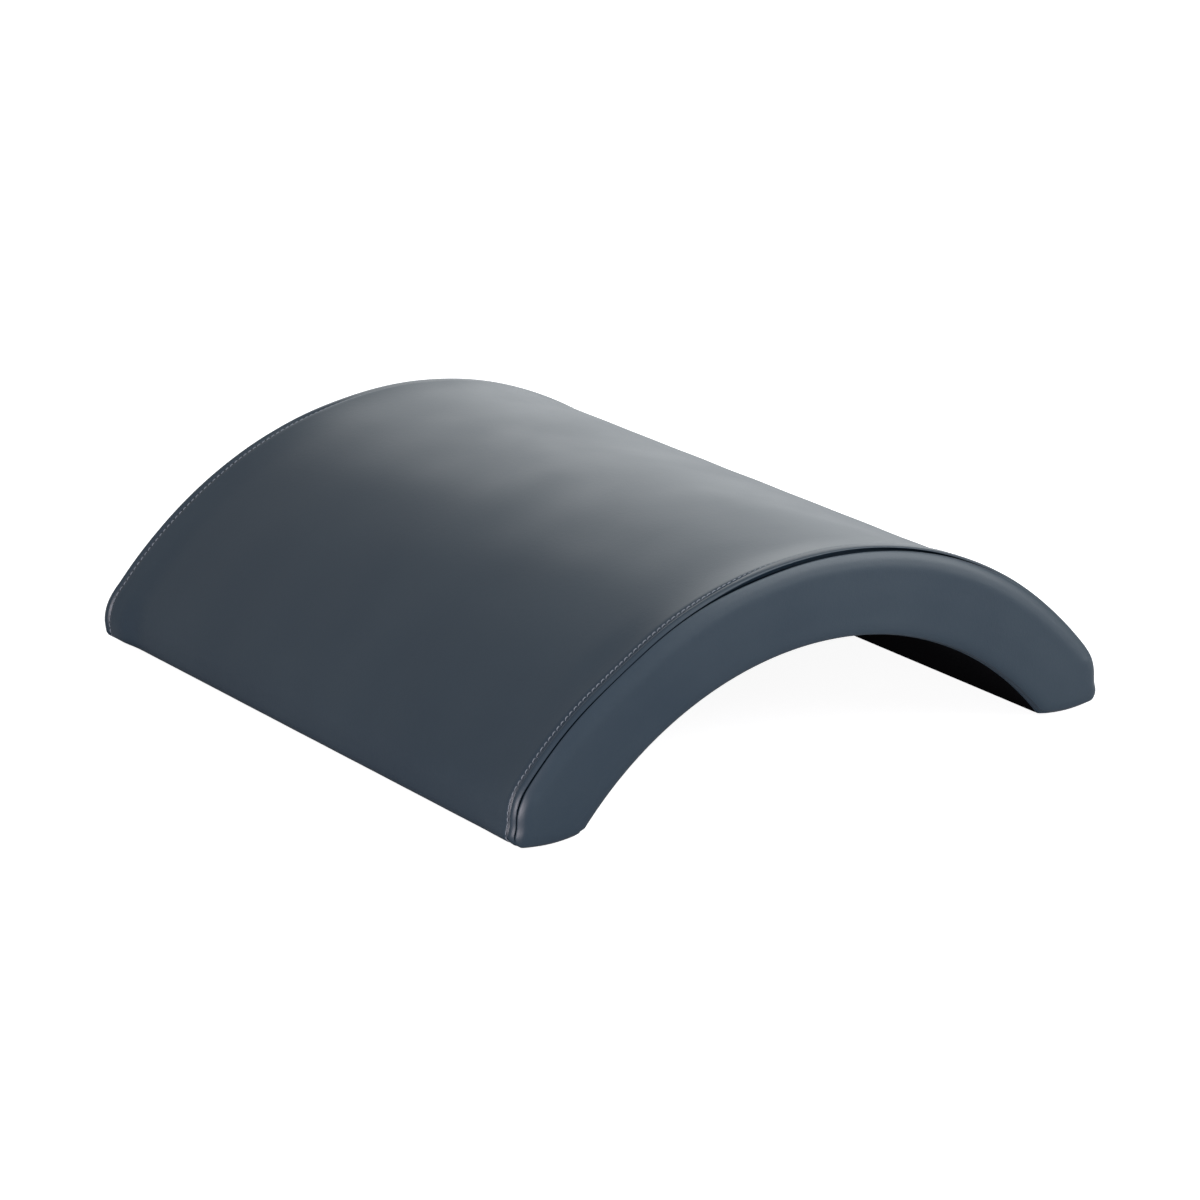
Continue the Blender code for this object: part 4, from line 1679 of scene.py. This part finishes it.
@dataclass(frozen=True)
class Studio:
    """The pale floor, soft lights and camera of the photograph."""

    azimuth: float = -35.62
    elevation: float = 18.08
    distance: float = 3.878
    target_height: float = 0.0924
    lens: float = 143.43
    sensor_width: float = 36.0
    shift: tuple[float, float] = (0.00493, -0.02951)
    floor_reach: float = 12.0
    floor_colours: tuple[Colour, Colour] = (rgba(0.47, 0.47, 0.48), rgba(0.51, 0.51, 0.52))
    floor_glow: float = 0.92
    floor_grain: float = 40.0
    room_colour: Colour = rgba(0.97, 0.985, 1.0)
    room_light: float = 0.53
    lights: tuple[SoftLight, ...] = (
        SoftLight("rear_light", (2.2, 2.6, 1.15), (2.7, 2.7), 35.5),
        SoftLight("overhead_light", (0.9, -0.9, 2.7), (1.8, 1.8), 26.0),
        SoftLight("left_light", (-2.3, -1.75, 0.24), (1.2, 0.44), 62.0, (1.0, 0.92, 0.97)),
        SoftLight("right_light", (1.55, -1.66, 1.12), (1.4, 2.1), 50.0),
    )

    def build(self) -> None:
        """Makes the whole set."""
        self._camera()
        self._floor()
        self._world()
        for light in self.lights:
            light.hang()

    def _back(self) -> Vector:
        """Finds the direction from the object to the camera.

        Returns:
            A vector of length 1.
        """
        turn, rise = math.radians(self.azimuth), math.radians(self.elevation)
        level = math.cos(rise)
        return Vector((math.sin(turn) * level, -math.cos(turn) * level, math.sin(rise)))

    def _camera(self) -> None:
        """Puts the camera where the photograph was taken from."""
        data = bpy.data.cameras.new("photo_camera")
        data.lens = self.lens
        data.sensor_width = self.sensor_width
        data.shift_x, data.shift_y = self.shift
        camera = bpy.data.objects.new("photo_camera", data)
        target = Vector((0.0, 0.0, self.target_height))
        camera.location = target + self._back() * self.distance
        camera.rotation_euler = self._back().to_track_quat("Z", "Y").to_euler()
        bpy.context.scene.collection.objects.link(camera)
        bpy.context.scene.camera = camera

    def _floor(self) -> None:
        """Lays a pale floor that shows white to the camera and keeps the shadow."""
        bpy.ops.mesh.primitive_plane_add(size=2.0 * self.floor_reach)
        floor = bpy.context.active_object
        floor.name = "studio_floor"
        material = bpy.data.materials.new("pale_floor")
        material.use_nodes = True
        tree = Tree(material.node_tree)
        place = tree.add("ShaderNodeTexCoord").outputs["Object"]
        paper = tree.add("ShaderNodeTexNoise", {"Vector": place, "Scale": self.floor_grain})
        colour = tree.mix(paper.outputs["Fac"], *self.floor_colours)
        matte = tree.add("ShaderNodeBsdfDiffuse", {"Color": colour})
        white = rgba(1.0, 1.0, 1.0)
        glow = tree.add("ShaderNodeEmission", {"Color": white, "Strength": self.floor_glow})
        rays = tree.add("ShaderNodeLightPath")
        dark = tree.add("ShaderNodeEmission", {"Strength": 0.0})
        shown = tree.add("ShaderNodeMixShader", {
            0: rays.outputs["Is Camera Ray"], 1: dark.outputs[0], 2: glow.outputs[0],
        })
        both = tree.add("ShaderNodeAddShader", {0: matte.outputs[0], 1: shown.outputs[0]})
        tree.add("ShaderNodeOutputMaterial", {"Surface": both.outputs[0]})
        floor.data.materials.append(material)

    def _world(self) -> None:
        """Surrounds the set with even pale light."""
        world = bpy.data.worlds.new("white_room")
        world.use_nodes = True
        tree = Tree(world.node_tree)
        light = tree.add("ShaderNodeBackground", {
            "Color": self.room_colour, "Strength": self.room_light})
        tree.add("ShaderNodeOutputWorld", {"Surface": light.outputs[0]})
        bpy.context.scene.world = world
        bpy.context.scene.view_settings.view_transform = "Standard"


def main() -> None:
    """Builds the stretcher's dressed pieces and then the studio."""
    logging.basicConfig(level=logging.INFO, format="%(name)s %(message)s")
    section = ArchSection.from_frame()
    shelf = FinishShelf()
    cover = TopCover(section)
    cover.build(shelf)
    for end in End:
        EndCover(section, end).build(shelf)
        TopStitching(cover, end).build(shelf)
    UndersideLining(section).build(shelf)
    for node in ("top_foam_pad", "front_end_foam_pad", "rear_end_foam_pad"):
        FoamPad(node).build(shelf)
    Fixings().build(shelf)
    FrameDressing(shelf).dress()
    Studio().build()


if __name__ == "__main__":
    main()
